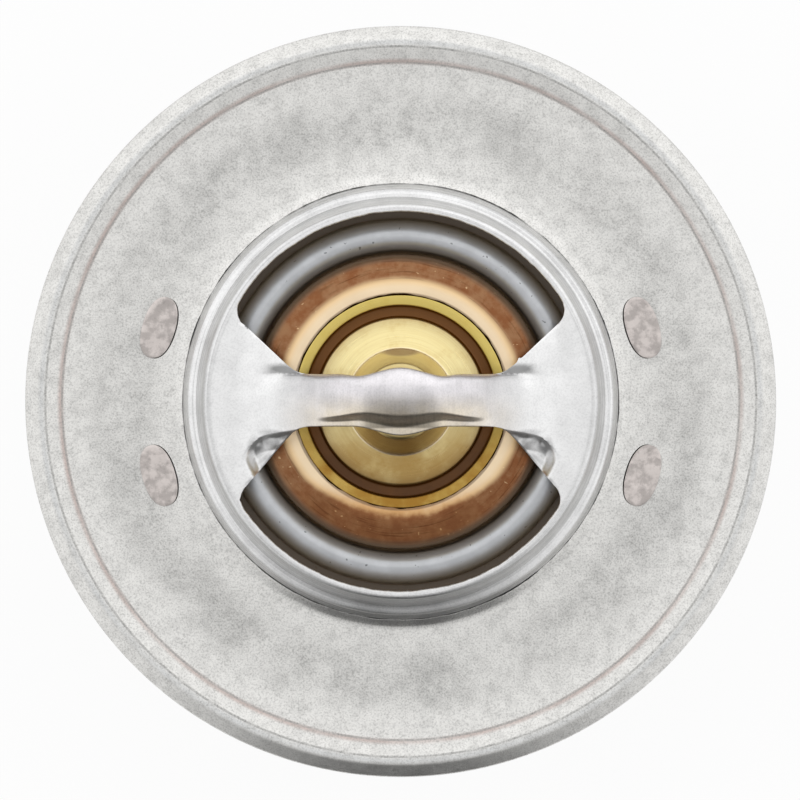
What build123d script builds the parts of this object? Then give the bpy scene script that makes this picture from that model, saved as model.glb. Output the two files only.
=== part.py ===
from build123d import *
import os
from math import asin, cos, degrees, hypot, pi, radians, sin, sqrt, tan

# Engine coolant thermostat of the wax capsule kind, in millimetres.
# +Z runs up the axis towards the bridge and X runs along the bridge's strap.
# z = 0 is the lower face of the flange, which seats in the housing.

# Copper wax cup
CUP_SHEET = 0.8
CUP_BODY_RADIUS = 7.9
CUP_BODY_LENGTH = 30.6
CUP_BOTTOM_BEND = 0.8
CUP_NECK_BEND = 0.15
CUP_FOOT_BEND = 0.1
CUP_HEAD_OVERHANG = 2.65
CUP_HEAD_HEIGHT = 3.2
CUP_LIP_WIDTH = 2.8
CUP_SHOULDER_BEND = 0.85
CUP_CLEARANCE = 0.15

# Valve disc, pressed round the cup's head
DISC_SHEET = 0.8
DISC_BORE_CLEARANCE = 0.2
DISC_WEB_DROP = 1.15
BEAD_GAP = 0.2
BEAD_WIDTH = 2.4
BEAD_HEIGHT = 1.35
BEAD_BEND = 0.35
DISC_WEB_BEND = 0.3
DISC_RIM_BEND = 0.15
DISC_RIM_WIDTH = 1.0
SEAT_CLEARANCE = 0.07

# Upper bridge: land, stepped collar round the disc, and brim under the flange
BRIDGE_SHEET = 0.8
LAND_HEIGHT = 5.2
LAND_UNDERCUT = 0.05
SHOULDER_INNER_HEIGHT = 2.6
SHOULDER_OUTER_HEIGHT = 2.1
COLLAR_UPPER_DRAFT = 0.55
SHOULDER_WIDTH = 0.6
COLLAR_LOWER_DRAFT = 0.5
BRIM_SEAT_DEPTH = 0.1
BRIM_SEAT_MARGIN = 0.15
COLLAR_BEND = 0.15
COLLAR_SHOULDER_BEND = 0.3
COLLAR_COINING = 0.55
WINDOW_LAND_WIDTH = 0.6
WINDOW_CORNER = 1.0

# Upper bridge: strap
STRAP_CROWN_HEIGHT = 13.8
STRAP_FLAT_REACH = 2.0
STRAP_ROOT_INSET = 2.0
STRAP_ROOT_HALF_WIDTH = 6.3
STRAP_FAN_LENGTH = 4.1
STRAP_FOLD_LENGTH = 3.3
STRAP_WAIST_HALF_WIDTH = 1.75
STRAP_SEAT_HALF_WIDTH = 2.4
STRAP_SEAT_REACH = 3.4
STRAP_DEPTH = 2.0
STRAP_LIP = 0.4
STRAP_WALL_RUN = 0.3
STRAP_SEAT_WALL_RUN = 0.8
STRAP_ROOT_SPREAD = 1.2
STRAP_SHOULDER_FALL = 0.15
STRAP_FOOT_FALL = 0.85
STRAP_LIP_FALL = 0.98
STRAP_SEAT_STEPS = 3
STRAP_FAN_STEPS = 4
SEAT_BUMP_RADIUS = 1.7
SEAT_HOLLOW_RADIUS = 1.3
SEAT_RISE = 0.3

# Flange ring
FLANGE_RADIUS = 27.0
FLANGE_SHEET = 0.9
FLANGE_BORE_GAP = 0.25
RIM_SLOPE_WIDTH = 1.2
RIM_CREST_WIDTH = 1.5
RIM_RISE = 0.6
RIM_FOOT_BEND = 0.4
RIM_CREST_BEND = 0.3
RIM_EDGE_BEND = 0.1
RIM_TURN_DOWN = 1.05

# Tabs of the lower frame, staked into the flange
TAB_BORE_GAP = 2.15
TAB_LEG_INSET = 2.49
TAB_WIDTH = 3.6
TAB_HEAD_LENGTH = 4.9
TAB_HEAD_WIDTH = 2.45
TAB_HEAD_TAPER = 26.0
TAB_CLEARANCE = 0.05
BRIM_OVERHANG = 2.45

# Lower frame: drawn cage with two legs and a collar for the cup
FRAME_SHEET = 1.2
FRAME_LENGTH = 25.5
FRAME_SHOULDER_DEPTH = 8.0
FRAME_FLOOR_MARGIN = 1.7
FRAME_COLLAR_LENGTH = 2.0
FRAME_COLLAR_BEND = 0.3
FRAME_FLOOR_BEND = 1.0
FRAME_SHOULDER_BEND = 3.0
LEG_HALF_WIDTH = 7.95
LEG_WINDOW_FLOOR = 3.5
LEG_WINDOW_CORNER = 2.5

# Main spring
SPRING_WIRE = 1.8
SPRING_CUP_GAP = 1.2
SPRING_ACTIVE_COILS = 4
SPRING_CLOSED_TURNS = 1
SPRING_END_PITCH = 1.02
SPRING_PITCH_EASE = 0.1
SPRING_POINTS_PER_TURN = 12
SPRING_GRIND = 0.5
SPRING_CLEARANCE = 0.05

# Brass piston guide
GUIDE_FLANGE_THICKNESS = 1.0
GUIDE_RING_WIDTH = 0.8
GUIDE_RING_DROP = 0.3
GUIDE_GROOVE_WIDTH = 0.87
GUIDE_GROOVE_DEPTH = 1.35
GUIDE_BOSS_DROP = 0.1
GUIDE_BOSS_DOME = 0.25
GUIDE_NECK_RADIUS = 3.8
GUIDE_NECK_TOP_RADIUS = 3.1
GUIDE_NECK_RISE = 5.6
GUIDE_FILLET = 0.25
EDGE_BREAK = 0.1
PRESS_CLEARANCE = 0.05

# Steel piston, rubber squeeze boot, seal washer and wax charge
PISTON_RADIUS = 1.9
PISTON_TIP_RADIUS = 0.75
PISTON_TIP_TAPER = 1.9
PISTON_TIP_BEND = 0.3
PISTON_SHOULDER_BEND = 0.6
PISTON_END_BEND = 0.8
PISTON_LENGTH = 27.0
PISTON_CLEARANCE = 0.05
PISTON_END_CLEARANCE = 0.03
BOOT_WALL = 0.9
BOOT_CLEARANCE = 0.1
BOOT_END = 1.6
BOOT_NOSE_BEND = 1.6
BOOT_SHOULDER_BEND = 0.5
BOOT_MOUTH_BEND = 0.3
WASHER_THICKNESS = 0.4
WAX_CLEARANCE = 0.02

# Radii that follow, from the cup outwards
CUP_HEAD_RADIUS = CUP_BODY_RADIUS + CUP_HEAD_OVERHANG
CUP_LIP_RADIUS = CUP_HEAD_RADIUS - CUP_LIP_WIDTH
BEAD_INNER_RADIUS = CUP_HEAD_RADIUS + BEAD_GAP
BEAD_OUTER_RADIUS = BEAD_INNER_RADIUS + BEAD_WIDTH
DISC_RADIUS = BEAD_OUTER_RADIUS + DISC_RIM_WIDTH
LAND_RADIUS = DISC_RADIUS - LAND_UNDERCUT
SHOULDER_INNER_RADIUS = LAND_RADIUS + COLLAR_UPPER_DRAFT
SHOULDER_OUTER_RADIUS = SHOULDER_INNER_RADIUS + SHOULDER_WIDTH
COLLAR_BASE_RADIUS = SHOULDER_OUTER_RADIUS + COLLAR_LOWER_DRAFT
WINDOW_RADIUS = LAND_RADIUS - WINDOW_LAND_WIDTH
STRAP_ROOT_REACH = WINDOW_RADIUS - STRAP_ROOT_INSET
STRAP_FAN_REACH = STRAP_ROOT_REACH - STRAP_FAN_LENGTH
STRAP_FOLD_REACH = STRAP_ROOT_REACH - STRAP_FOLD_LENGTH
FLANGE_BORE_RADIUS = COLLAR_BASE_RADIUS + FLANGE_BORE_GAP
RIM_CREST_RADIUS = FLANGE_RADIUS - RIM_CREST_WIDTH
RIM_FOOT_RADIUS = RIM_CREST_RADIUS - RIM_SLOPE_WIDTH
FRAME_MID_RADIUS = FLANGE_BORE_RADIUS + TAB_BORE_GAP
BRIM_RADIUS = FRAME_MID_RADIUS + BRIM_OVERHANG
TAB_ANGLE = degrees(asin((LEG_HALF_WIDTH - TAB_LEG_INSET) / FRAME_MID_RADIUS))
SPRING_MEAN_RADIUS = CUP_BODY_RADIUS + SPRING_CUP_GAP + SPRING_WIRE / 2
FRAME_FLOOR_RADIUS = SPRING_MEAN_RADIUS + SPRING_WIRE / 2 + FRAME_FLOOR_MARGIN
GUIDE_RING_RADIUS = CUP_LIP_RADIUS - PRESS_CLEARANCE
GUIDE_RING_INNER_RADIUS = GUIDE_RING_RADIUS - GUIDE_RING_WIDTH
GUIDE_BOSS_RADIUS = GUIDE_RING_INNER_RADIUS - GUIDE_GROOVE_WIDTH

# Largest share of a straight wall that the bends at its two ends may take
BEND_SHARE_OF_WALL = 0.96


def mitred(points, sheet):
    """The run of points moved one thickness to its right, with mitred corners."""
    corners = [Vector(*point) for point in points]
    ways = [(b - a).normalized() for a, b in zip(corners, corners[1:])]
    rights = [Vector(way.Y, -way.X) for way in ways]
    back = [corners[0] + rights[0] * sheet]
    for corner, before, after in zip(corners[1:], rights, rights[1:]):
        bisector = before + after
        back.append(corner + bisector * (2 * sheet / bisector.dot(bisector)))
    back.append(corners[-1] + rights[-1] * sheet)
    return [(corner.X, corner.Y) for corner in back]


def limited(points, bends):
    """The bend radii of a closed outline, each limited by its two walls."""
    corners = [Vector(*point) for point in points]
    walls = [b - a for a, b in zip(corners, corners[1:] + corners[:1])]
    turns = [before.get_angle(after) for before, after in zip(walls[-1:] + walls[:-1], walls)]
    reaches = [bend * tan(radians(turn / 2)) for bend, turn in zip(bends, turns)]
    shares = [1.0] * len(bends)
    for i, wall in enumerate(walls):
        after = (i + 1) % len(walls)
        needed = reaches[i] + reaches[after]
        if needed > BEND_SHARE_OF_WALL * wall.length:
            share = BEND_SHARE_OF_WALL * wall.length / needed
            shares[i] = min(shares[i], share)
            shares[after] = min(shares[after], share)
    return [bend * share for bend, share in zip(bends, shares)]


def turned(points, bends):
    """Spin a closed outline of (radius, height) points, one bend radius for each."""
    with BuildPart() as piece:
        with BuildSketch(Plane.XZ):
            with BuildLine():
                FilletPolyline(*points, radius=limited(points, bends), close=True)
            make_face()
        revolve(axis=Axis.Z)
    return piece.part


def spun_sheet(points, inner_bends, sheet, coining=1.0):
    """Spin a run of sheet metal whose face follows points and whose metal lies to the right.

    Each bend is given by its inner radius, and its outer one is larger by the sheet.
    Coining below 1 presses the outer corners tighter than that.
    """
    corners = [Vector(*point) for point in points]
    ways = [b - a for a, b in zip(corners, corners[1:])]
    face_bends = []
    back_bends = []
    for before, after, inner in zip(ways, ways[1:], inner_bends):
        outer = inner + coining * abs(sheet)
        towards_metal = before.cross(after).Z * sheet < 0
        face_bends.append(outer if towards_metal else inner)
        back_bends.append(inner if towards_metal else outer)
    outline = [*points, *reversed(mitred(points, sheet))]
    return turned(outline, [0, *face_bends, 0, 0, *reversed(back_bends), 0])


def at_tabs(make):
    """One copy of a piece made on the X axis at each of the four staked tabs."""
    piece = make()
    angles = (TAB_ANGLE, -TAB_ANGLE, 180 - TAB_ANGLE, 180 + TAB_ANGLE)
    return [Rot(0, 0, angle) * piece for angle in angles]


def tab_head(clearance):
    """The staked head: an oval that widens upwards through the flange."""
    with BuildPart() as head:
        with BuildSketch(Plane.XY.offset(FLANGE_SHEET)):
            with Locations((FRAME_MID_RADIUS, 0)):
                length = TAB_HEAD_LENGTH + 2 * clearance
                width = TAB_HEAD_WIDTH + 2 * clearance
                SlotOverall(length, width, rotation=90)
        extrude(amount=BRIM_SEAT_DEPTH - FLANGE_SHEET, taper=TAB_HEAD_TAPER)
    return head.part


def tab_neck(clearance):
    """The tab's straight neck through the bridge's brim."""
    with BuildPart() as neck:
        with Locations((FRAME_MID_RADIUS, 0, BRIM_SEAT_DEPTH)):
            Box(
                FRAME_SHEET + 2 * clearance,
                TAB_WIDTH + 2 * clearance,
                BRIDGE_SHEET,
                align=(Align.CENTER, Align.CENTER, Align.MAX),
            )
    return neck.part


def flange():
    crest = FLANGE_SHEET + RIM_RISE
    face = [
        (FLANGE_BORE_RADIUS, FLANGE_SHEET),
        (RIM_FOOT_RADIUS, FLANGE_SHEET),
        (RIM_CREST_RADIUS, crest),
        (FLANGE_RADIUS, crest),
        (FLANGE_RADIUS, crest - RIM_TURN_DOWN),
    ]
    bends = [RIM_FOOT_BEND, RIM_CREST_BEND, RIM_EDGE_BEND]
    ring = spun_sheet(face, bends, FLANGE_SHEET)
    brim_seat = Cylinder(
        BRIM_RADIUS + BRIM_SEAT_MARGIN,
        BRIM_SEAT_DEPTH,
        align=(Align.CENTER, Align.CENTER, Align.MIN),
    )
    return ring - brim_seat - at_tabs(lambda: tab_head(TAB_CLEARANCE))


def collar_face():
    """Outer face of the bridge's collar, from the land outwards and down to the brim."""
    return [
        (WINDOW_RADIUS - 2 * BRIDGE_SHEET, LAND_HEIGHT),
        (LAND_RADIUS, LAND_HEIGHT),
        (SHOULDER_INNER_RADIUS, SHOULDER_INNER_HEIGHT),
        (SHOULDER_OUTER_RADIUS, SHOULDER_OUTER_HEIGHT),
        (COLLAR_BASE_RADIUS, BRIM_SEAT_DEPTH),
        (BRIM_RADIUS, BRIM_SEAT_DEPTH),
    ]


def ease(fraction):
    """Smooth step from 0 to 1."""
    held = min(max(fraction, 0), 1)
    return held * held * (3 - 2 * held)


def strap_crown(x):
    """Height of the strap's crown line at x, and the cosine of its slope there."""
    span = STRAP_ROOT_REACH - STRAP_FLAT_REACH
    rise = STRAP_CROWN_HEIGHT - LAND_HEIGHT
    along = min(max((abs(x) - STRAP_FLAT_REACH) / span, 0), 1)
    slope = rise / span * 6 * along * (1 - along)
    return STRAP_CROWN_HEIGHT - rise * ease(along), 1 / hypot(1, slope)


def strap_half_width(x):
    """Half width of the strap at its lips: swollen at the seat, fanned out at the roots."""
    swell = (STRAP_SEAT_HALF_WIDTH - STRAP_WAIST_HALF_WIDTH) * (1 - ease(abs(x) / STRAP_SEAT_REACH))
    fan_share = max(abs(x) - STRAP_FAN_REACH, 0) / STRAP_FAN_LENGTH
    fan = (STRAP_ROOT_HALF_WIDTH - STRAP_WAIST_HALF_WIDTH) * fan_share
    return STRAP_WAIST_HALF_WIDTH + swell + fan


def strap_section(x):
    """The strap's section at x: a channel whose lips spread into the fan at each root."""
    crown, cosine = strap_crown(x)
    lip = strap_half_width(x)
    into_seat = 1 - ease(abs(x) / STRAP_SEAT_REACH)
    into_root = ease((abs(x) - STRAP_FAN_REACH) / STRAP_FAN_LENGTH)
    into_fold = ease((abs(x) - STRAP_FOLD_REACH) / STRAP_FOLD_LENGTH)
    depth = (STRAP_DEPTH - BRIDGE_SHEET) * (1 - into_fold)
    waist_foot = STRAP_WAIST_HALF_WIDTH - STRAP_LIP
    seat_foot = STRAP_SEAT_HALF_WIDTH - STRAP_LIP
    foot = waist_foot + (seat_foot - waist_foot) * into_seat + STRAP_ROOT_SPREAD * into_root
    shoulder = foot - STRAP_WALL_RUN - (STRAP_SEAT_WALL_RUN - STRAP_WALL_RUN) * into_seat
    level = crown * cosine
    half = [
        (0, level),
        (shoulder, level - STRAP_SHOULDER_FALL * depth),
        (foot, level - STRAP_FOOT_FALL * depth),
        ((foot + lip) / 2, level - STRAP_LIP_FALL * depth),
        (lip, level - depth),
    ]
    face = [(-y, z) for y, z in reversed(half[1:])] + half
    back = mitred(face, BRIDGE_SHEET)
    with BuildSketch(Plane.YZ.offset(x)) as section:
        with BuildLine():
            top = Spline([(y, z / cosine) for y, z in face])
            under = Spline([(y, z / cosine) for y, z in back])
            Line(top @ 0, under @ 0)
            Line(top @ 1, under @ 1)
        make_face()
    return section.sketch


def strap():
    """The arched strap, lofted through its channel sections from root to root."""
    stations = [STRAP_SEAT_REACH * step / STRAP_SEAT_STEPS for step in range(STRAP_SEAT_STEPS + 1)]
    stations.append((STRAP_SEAT_REACH + STRAP_FAN_REACH) / 2)
    for step in range(STRAP_FAN_STEPS + 1):
        stations.append(STRAP_FAN_REACH + STRAP_FAN_LENGTH * step / STRAP_FAN_STEPS)
    both = sorted({-x for x in stations} | set(stations))
    with BuildPart() as arch:
        loft([strap_section(x) for x in both])
    return arch.part


def seat_sphere(radius):
    """Radius of the sphere whose cap over a circle of this radius rises by SEAT_RISE."""
    return (radius**2 + SEAT_RISE**2) / (2 * SEAT_RISE)


def seat_dome(radius, floor):
    """The shallow dome pressed into the crown over the piston, reaching below its floor."""
    sphere = seat_sphere(radius)
    cap = Pos(0, 0, floor + SEAT_RISE - sphere) * Sphere(sphere)
    keep = Pos(0, 0, floor - BRIDGE_SHEET / 2) * Cylinder(
        radius, 2 * BRIDGE_SHEET, align=(Align.CENTER, Align.CENTER, Align.MIN)
    )
    return cap & keep


def upper_bridge():
    brim_bend = FLANGE_BORE_GAP - PRESS_CLEARANCE
    bends = [COLLAR_BEND, COLLAR_SHOULDER_BEND, COLLAR_BEND, brim_bend]
    hat = spun_sheet(collar_face(), bends, BRIDGE_SHEET, COLLAR_COINING)
    with BuildPart() as land:
        with BuildSketch(Plane.XY.offset(LAND_HEIGHT)):
            Circle(WINDOW_RADIUS - BRIDGE_SHEET)
        extrude(amount=-BRIDGE_SHEET)
    with BuildPart() as windows:
        with BuildSketch(Plane.XY.offset(LAND_HEIGHT)) as outline:
            Circle(WINDOW_RADIUS)
            Rectangle(2 * STRAP_ROOT_REACH, 2 * WINDOW_RADIUS, mode=Mode.INTERSECT)
            fillet(outline.vertices(), WINDOW_CORNER)
        extrude(amount=-BRIDGE_SHEET)
    necks = at_tabs(lambda: tab_neck(TAB_CLEARANCE))
    bump = seat_dome(SEAT_BUMP_RADIUS, STRAP_CROWN_HEIGHT)
    hollow = seat_dome(SEAT_HOLLOW_RADIUS, STRAP_CROWN_HEIGHT - BRIDGE_SHEET)
    return hat + land.part - windows.part + strap() + bump - hollow - necks


def lower_frame():
    outer = FRAME_MID_RADIUS + FRAME_SHEET / 2
    collar_outer = CUP_BODY_RADIUS + CUP_CLEARANCE + FRAME_SHEET
    floor = -FRAME_LENGTH
    top = BRIM_SEAT_DEPTH - BRIDGE_SHEET
    outside = [
        (collar_outer, floor - FRAME_COLLAR_LENGTH + FRAME_SHEET),
        (collar_outer, floor),
        (FRAME_FLOOR_RADIUS, floor),
        (outer, -FRAME_SHOULDER_DEPTH),
        (outer, top),
    ]
    bends = [FRAME_COLLAR_BEND, FRAME_FLOOR_BEND, FRAME_SHOULDER_BEND]
    shell = spun_sheet(outside, bends, -FRAME_SHEET)
    with BuildPart() as gaps:
        with BuildSketch(Plane.YZ.offset(-FLANGE_RADIUS)):
            low = floor + LEG_WINDOW_FLOOR
            width = FLANGE_RADIUS - LEG_HALF_WIDTH
            height = top - low + LEG_WINDOW_CORNER
            middle = LEG_HALF_WIDTH + width / 2
            with Locations((middle, low + height / 2), (-middle, low + height / 2)):
                RectangleRounded(width, height, LEG_WINDOW_CORNER)
        extrude(amount=2 * FLANGE_RADIUS)
    necks = at_tabs(lambda: tab_neck(0))
    heads = at_tabs(lambda: tab_head(0))
    return shell - gaps.part + necks + heads


def seat_height(radius):
    """Height of the shoulder's underside, which the valve disc seats against, at a radius."""
    under = mitred(collar_face(), BRIDGE_SHEET)
    (inner_radius, inner_height), (outer_radius, outer_height) = under[2], under[3]
    share = (radius - inner_radius) / (outer_radius - inner_radius)
    return inner_height + share * (outer_height - inner_height)


RIM_TOP = seat_height(DISC_RADIUS) - SEAT_CLEARANCE
WEB_TOP = RIM_TOP - DISC_WEB_DROP
WEB_UNDER = WEB_TOP - DISC_SHEET
HEAD_TOP = WEB_TOP + CUP_HEAD_HEIGHT
CUP_BOTTOM = WEB_TOP - CUP_BODY_LENGTH


def valve_disc():
    crest = RIM_TOP + BEAD_HEIGHT
    face = [
        (CUP_BODY_RADIUS + DISC_BORE_CLEARANCE, WEB_TOP),
        (BEAD_INNER_RADIUS, WEB_TOP),
        (BEAD_INNER_RADIUS, crest),
        (BEAD_OUTER_RADIUS, crest),
        (BEAD_OUTER_RADIUS, RIM_TOP),
        (DISC_RADIUS, RIM_TOP),
    ]
    bends = [DISC_WEB_BEND, BEAD_BEND, BEAD_BEND, DISC_RIM_BEND]
    return spun_sheet(face, bends, DISC_SHEET)


def wax_cup():
    shell = [
        (0, CUP_BOTTOM),
        (CUP_BODY_RADIUS, CUP_BOTTOM),
        (CUP_BODY_RADIUS, WEB_TOP),
        (CUP_HEAD_RADIUS, WEB_TOP),
        (CUP_HEAD_RADIUS, HEAD_TOP),
        (CUP_LIP_RADIUS, HEAD_TOP),
    ]
    bends = [CUP_BOTTOM_BEND, CUP_NECK_BEND, CUP_FOOT_BEND, CUP_SHOULDER_BEND]
    return spun_sheet(shell, bends, -CUP_SHEET)


CRIMP_TOP = HEAD_TOP - CUP_SHEET
CRIMP_BOTTOM = WEB_TOP + CUP_SHEET
CRIMP_RADIUS = CUP_HEAD_RADIUS - CUP_SHEET
GUIDE_UNDER = CRIMP_TOP - GUIDE_FLANGE_THICKNESS
WASHER_UNDER = GUIDE_UNDER - WASHER_THICKNESS
BOSS_TOP = HEAD_TOP - GUIDE_BOSS_DROP
NECK_TOP = BOSS_TOP + GUIDE_NECK_RISE
HOLLOW_SPHERE = seat_sphere(SEAT_HOLLOW_RADIUS)
HOLLOW_FALL = HOLLOW_SPHERE - sqrt(HOLLOW_SPHERE**2 - PISTON_TIP_RADIUS**2)
HOLLOW_TOP = STRAP_CROWN_HEIGHT - BRIDGE_SHEET + SEAT_RISE
PISTON_TOP = HOLLOW_TOP - HOLLOW_FALL - PISTON_END_CLEARANCE
PISTON_BOTTOM = PISTON_TOP - PISTON_LENGTH
BOOT_BORE = PISTON_RADIUS + BOOT_CLEARANCE
BOOT_RADIUS = BOOT_BORE + BOOT_WALL
BOOT_BOTTOM = PISTON_BOTTOM - BOOT_CLEARANCE - BOOT_END


def piston_guide():
    bore = PISTON_RADIUS + PISTON_CLEARANCE
    flange_radius = CRIMP_RADIUS - PRESS_CLEARANCE
    ring_top = HEAD_TOP - GUIDE_RING_DROP
    groove_floor = BOSS_TOP - GUIDE_GROOVE_DEPTH
    outline = [
        (bore, GUIDE_UNDER),
        (flange_radius, GUIDE_UNDER),
        (flange_radius, CRIMP_TOP),
        (GUIDE_RING_RADIUS, CRIMP_TOP),
        (GUIDE_RING_RADIUS, ring_top),
        (GUIDE_RING_INNER_RADIUS, ring_top),
        (GUIDE_RING_INNER_RADIUS, groove_floor),
        (GUIDE_BOSS_RADIUS, groove_floor),
        (GUIDE_BOSS_RADIUS, BOSS_TOP - GUIDE_BOSS_DOME),
        (GUIDE_NECK_RADIUS, BOSS_TOP),
        (GUIDE_NECK_TOP_RADIUS, NECK_TOP),
        (bore, NECK_TOP),
    ]
    flange_bends = [EDGE_BREAK, EDGE_BREAK, CUP_SHOULDER_BEND, 0]
    return turned(outline, flange_bends + [GUIDE_FILLET] * (len(outline) - len(flange_bends)))


def seal_washer():
    bore = PISTON_RADIUS + PISTON_CLEARANCE
    outer = CRIMP_RADIUS - PRESS_CLEARANCE
    return turned(
        [(bore, WASHER_UNDER), (outer, WASHER_UNDER), (outer, GUIDE_UNDER), (bore, GUIDE_UNDER)],
        [0, 0, 0, 0],
    )


def squeeze_boot():
    flange_radius = CRIMP_RADIUS - PRESS_CLEARANCE
    outline = [
        (0, BOOT_BOTTOM),
        (BOOT_RADIUS, BOOT_BOTTOM),
        (BOOT_RADIUS, CRIMP_BOTTOM),
        (flange_radius, CRIMP_BOTTOM),
        (flange_radius, WASHER_UNDER),
        (BOOT_BORE, WASHER_UNDER),
        (BOOT_BORE, PISTON_BOTTOM - BOOT_CLEARANCE),
        (0, PISTON_BOTTOM - BOOT_CLEARANCE),
    ]
    flange_bends = [BOOT_SHOULDER_BEND, EDGE_BREAK, EDGE_BREAK, BOOT_MOUTH_BEND]
    return turned(outline, [0, BOOT_NOSE_BEND, *flange_bends, PISTON_END_BEND, 0])


def wax_charge():
    outer = CUP_BODY_RADIUS - CUP_SHEET - WAX_CLEARANCE
    inner = BOOT_RADIUS + WAX_CLEARANCE
    floor = CUP_BOTTOM + CUP_SHEET + WAX_CLEARANCE
    top = CRIMP_BOTTOM - WAX_CLEARANCE
    outline = [
        (0, floor),
        (outer, floor),
        (outer, top),
        (inner, top),
        (inner, BOOT_BOTTOM - WAX_CLEARANCE),
        (0, BOOT_BOTTOM - WAX_CLEARANCE),
    ]
    rim_bends = [EDGE_BREAK, BOOT_SHOULDER_BEND + EDGE_BREAK]
    return turned(outline, [0, CUP_BOTTOM_BEND, *rim_bends, BOOT_NOSE_BEND, 0])


def piston():
    outline = [
        (0, PISTON_BOTTOM),
        (PISTON_RADIUS, PISTON_BOTTOM),
        (PISTON_RADIUS, PISTON_TOP - PISTON_TIP_TAPER),
        (PISTON_TIP_RADIUS, PISTON_TOP),
        (0, PISTON_TOP),
    ]
    bends = [0, PISTON_END_BEND, PISTON_SHOULDER_BEND, PISTON_TIP_BEND, 0]
    return turned(outline, bends)


def even_ramp(fraction):
    """Rise from 0 to 1 at a steady rate, eased in and out at the ends."""
    held = min(max(fraction, 0), 1)
    if held > 0.5:
        return 1 - even_ramp(1 - held)
    if held < SPRING_PITCH_EASE:
        return held * held / (2 * SPRING_PITCH_EASE * (1 - SPRING_PITCH_EASE))
    return (held - SPRING_PITCH_EASE / 2) / (1 - SPRING_PITCH_EASE)


def main_spring():
    """Helical spring with one closed turn at each end, ground flat on its two seats."""
    top = WEB_UNDER - SPRING_CLEARANCE
    floor = FRAME_SHEET - FRAME_LENGTH
    low = floor + SPRING_WIRE / 2 - SPRING_GRIND
    rise = top - floor - SPRING_WIRE + 2 * SPRING_GRIND
    closed_pitch = SPRING_WIRE * SPRING_END_PITCH
    turns = SPRING_ACTIVE_COILS + 2 * SPRING_CLOSED_TURNS
    points = []
    for step in range(turns * SPRING_POINTS_PER_TURN + 1):
        turn = step / SPRING_POINTS_PER_TURN
        angle = 2 * pi * turn
        opened = even_ramp((turn - SPRING_CLOSED_TURNS) / SPRING_ACTIVE_COILS)
        height = low + closed_pitch * turn + (rise - closed_pitch * turns) * opened
        points.append((SPRING_MEAN_RADIUS * cos(angle), SPRING_MEAN_RADIUS * sin(angle), height))
    path = Spline(*points)
    wire = Plane(origin=path @ 0, z_dir=path % 0) * Circle(SPRING_WIRE / 2)
    between_seats = Pos(0, 0, floor) * Cylinder(
        SPRING_MEAN_RADIUS + SPRING_WIRE,
        top - floor,
        align=(Align.CENTER, Align.CENTER, Align.MIN),
    )
    return sweep(wire, path=path, is_frenet=True) & between_seats


NODES = {
    "flange": flange,
    "upper_bridge": upper_bridge,
    "lower_frame": lower_frame,
    "valve_disc": valve_disc,
    "wax_cup": wax_cup,
    "piston_guide": piston_guide,
    "seal_washer": seal_washer,
    "squeeze_boot": squeeze_boot,
    "wax_charge": wax_charge,
    "piston": piston,
    "main_spring": main_spring,
}

os.makedirs("parts", exist_ok=True)
for name, make in NODES.items():
    export_step(make(), f"parts/{name}.step")
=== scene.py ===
"""Engine coolant thermostat: the finished surfaces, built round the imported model."""

import math

import bmesh
import bpy
import numpy as np
from bpy.props import FloatProperty, FloatVectorProperty, IntProperty, PointerProperty
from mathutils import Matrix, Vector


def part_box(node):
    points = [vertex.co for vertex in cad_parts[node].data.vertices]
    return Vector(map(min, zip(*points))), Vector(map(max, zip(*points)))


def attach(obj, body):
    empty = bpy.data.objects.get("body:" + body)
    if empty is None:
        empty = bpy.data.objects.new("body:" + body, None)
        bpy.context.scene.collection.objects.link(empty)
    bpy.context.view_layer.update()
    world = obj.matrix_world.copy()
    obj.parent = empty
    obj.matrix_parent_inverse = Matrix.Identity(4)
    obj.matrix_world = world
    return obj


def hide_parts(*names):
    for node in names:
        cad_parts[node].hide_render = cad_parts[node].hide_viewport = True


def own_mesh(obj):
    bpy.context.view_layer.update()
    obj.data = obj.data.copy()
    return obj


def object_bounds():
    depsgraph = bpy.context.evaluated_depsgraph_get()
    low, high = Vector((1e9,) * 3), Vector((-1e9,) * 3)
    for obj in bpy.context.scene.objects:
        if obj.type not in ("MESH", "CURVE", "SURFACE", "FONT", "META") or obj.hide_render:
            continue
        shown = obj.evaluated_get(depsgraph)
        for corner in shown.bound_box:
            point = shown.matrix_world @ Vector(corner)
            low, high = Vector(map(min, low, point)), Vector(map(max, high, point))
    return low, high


bl_info = {
    "name": "Engine Thermostat",
    "version": (1, 0, 0),
    "blender": (4, 5, 0),
    "location": "View3D > Sidebar > Thermostat",
    "description": "Builds the pressed, turned and coiled pieces of an engine coolant thermostat",
    "category": "Add Mesh",
}

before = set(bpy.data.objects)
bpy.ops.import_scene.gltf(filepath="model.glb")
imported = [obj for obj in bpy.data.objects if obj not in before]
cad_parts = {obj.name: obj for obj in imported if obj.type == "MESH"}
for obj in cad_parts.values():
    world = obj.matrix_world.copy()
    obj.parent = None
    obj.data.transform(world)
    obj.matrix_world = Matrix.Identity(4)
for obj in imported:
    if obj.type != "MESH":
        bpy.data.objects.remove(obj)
CAD_BOX = [list(corner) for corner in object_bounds()]

MM = 0.001
ARC_STEP = math.radians(12)


# ---------------------------------------------------------------- colours and properties


def linear(hex_colour):
    """Linear RGB of an sRGB colour written as #rrggbb."""
    channels = [int(hex_colour[i : i + 2], 16) / 255 for i in (1, 3, 5)]
    return tuple(c / 12.92 if c <= 0.04045 else ((c + 0.055) / 1.055) ** 2.4 for c in channels)


def bound(node, corner, axis):
    """One side of a CAD node's box, in millimetres."""
    return getattr(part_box(node)[corner], axis) / MM


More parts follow.
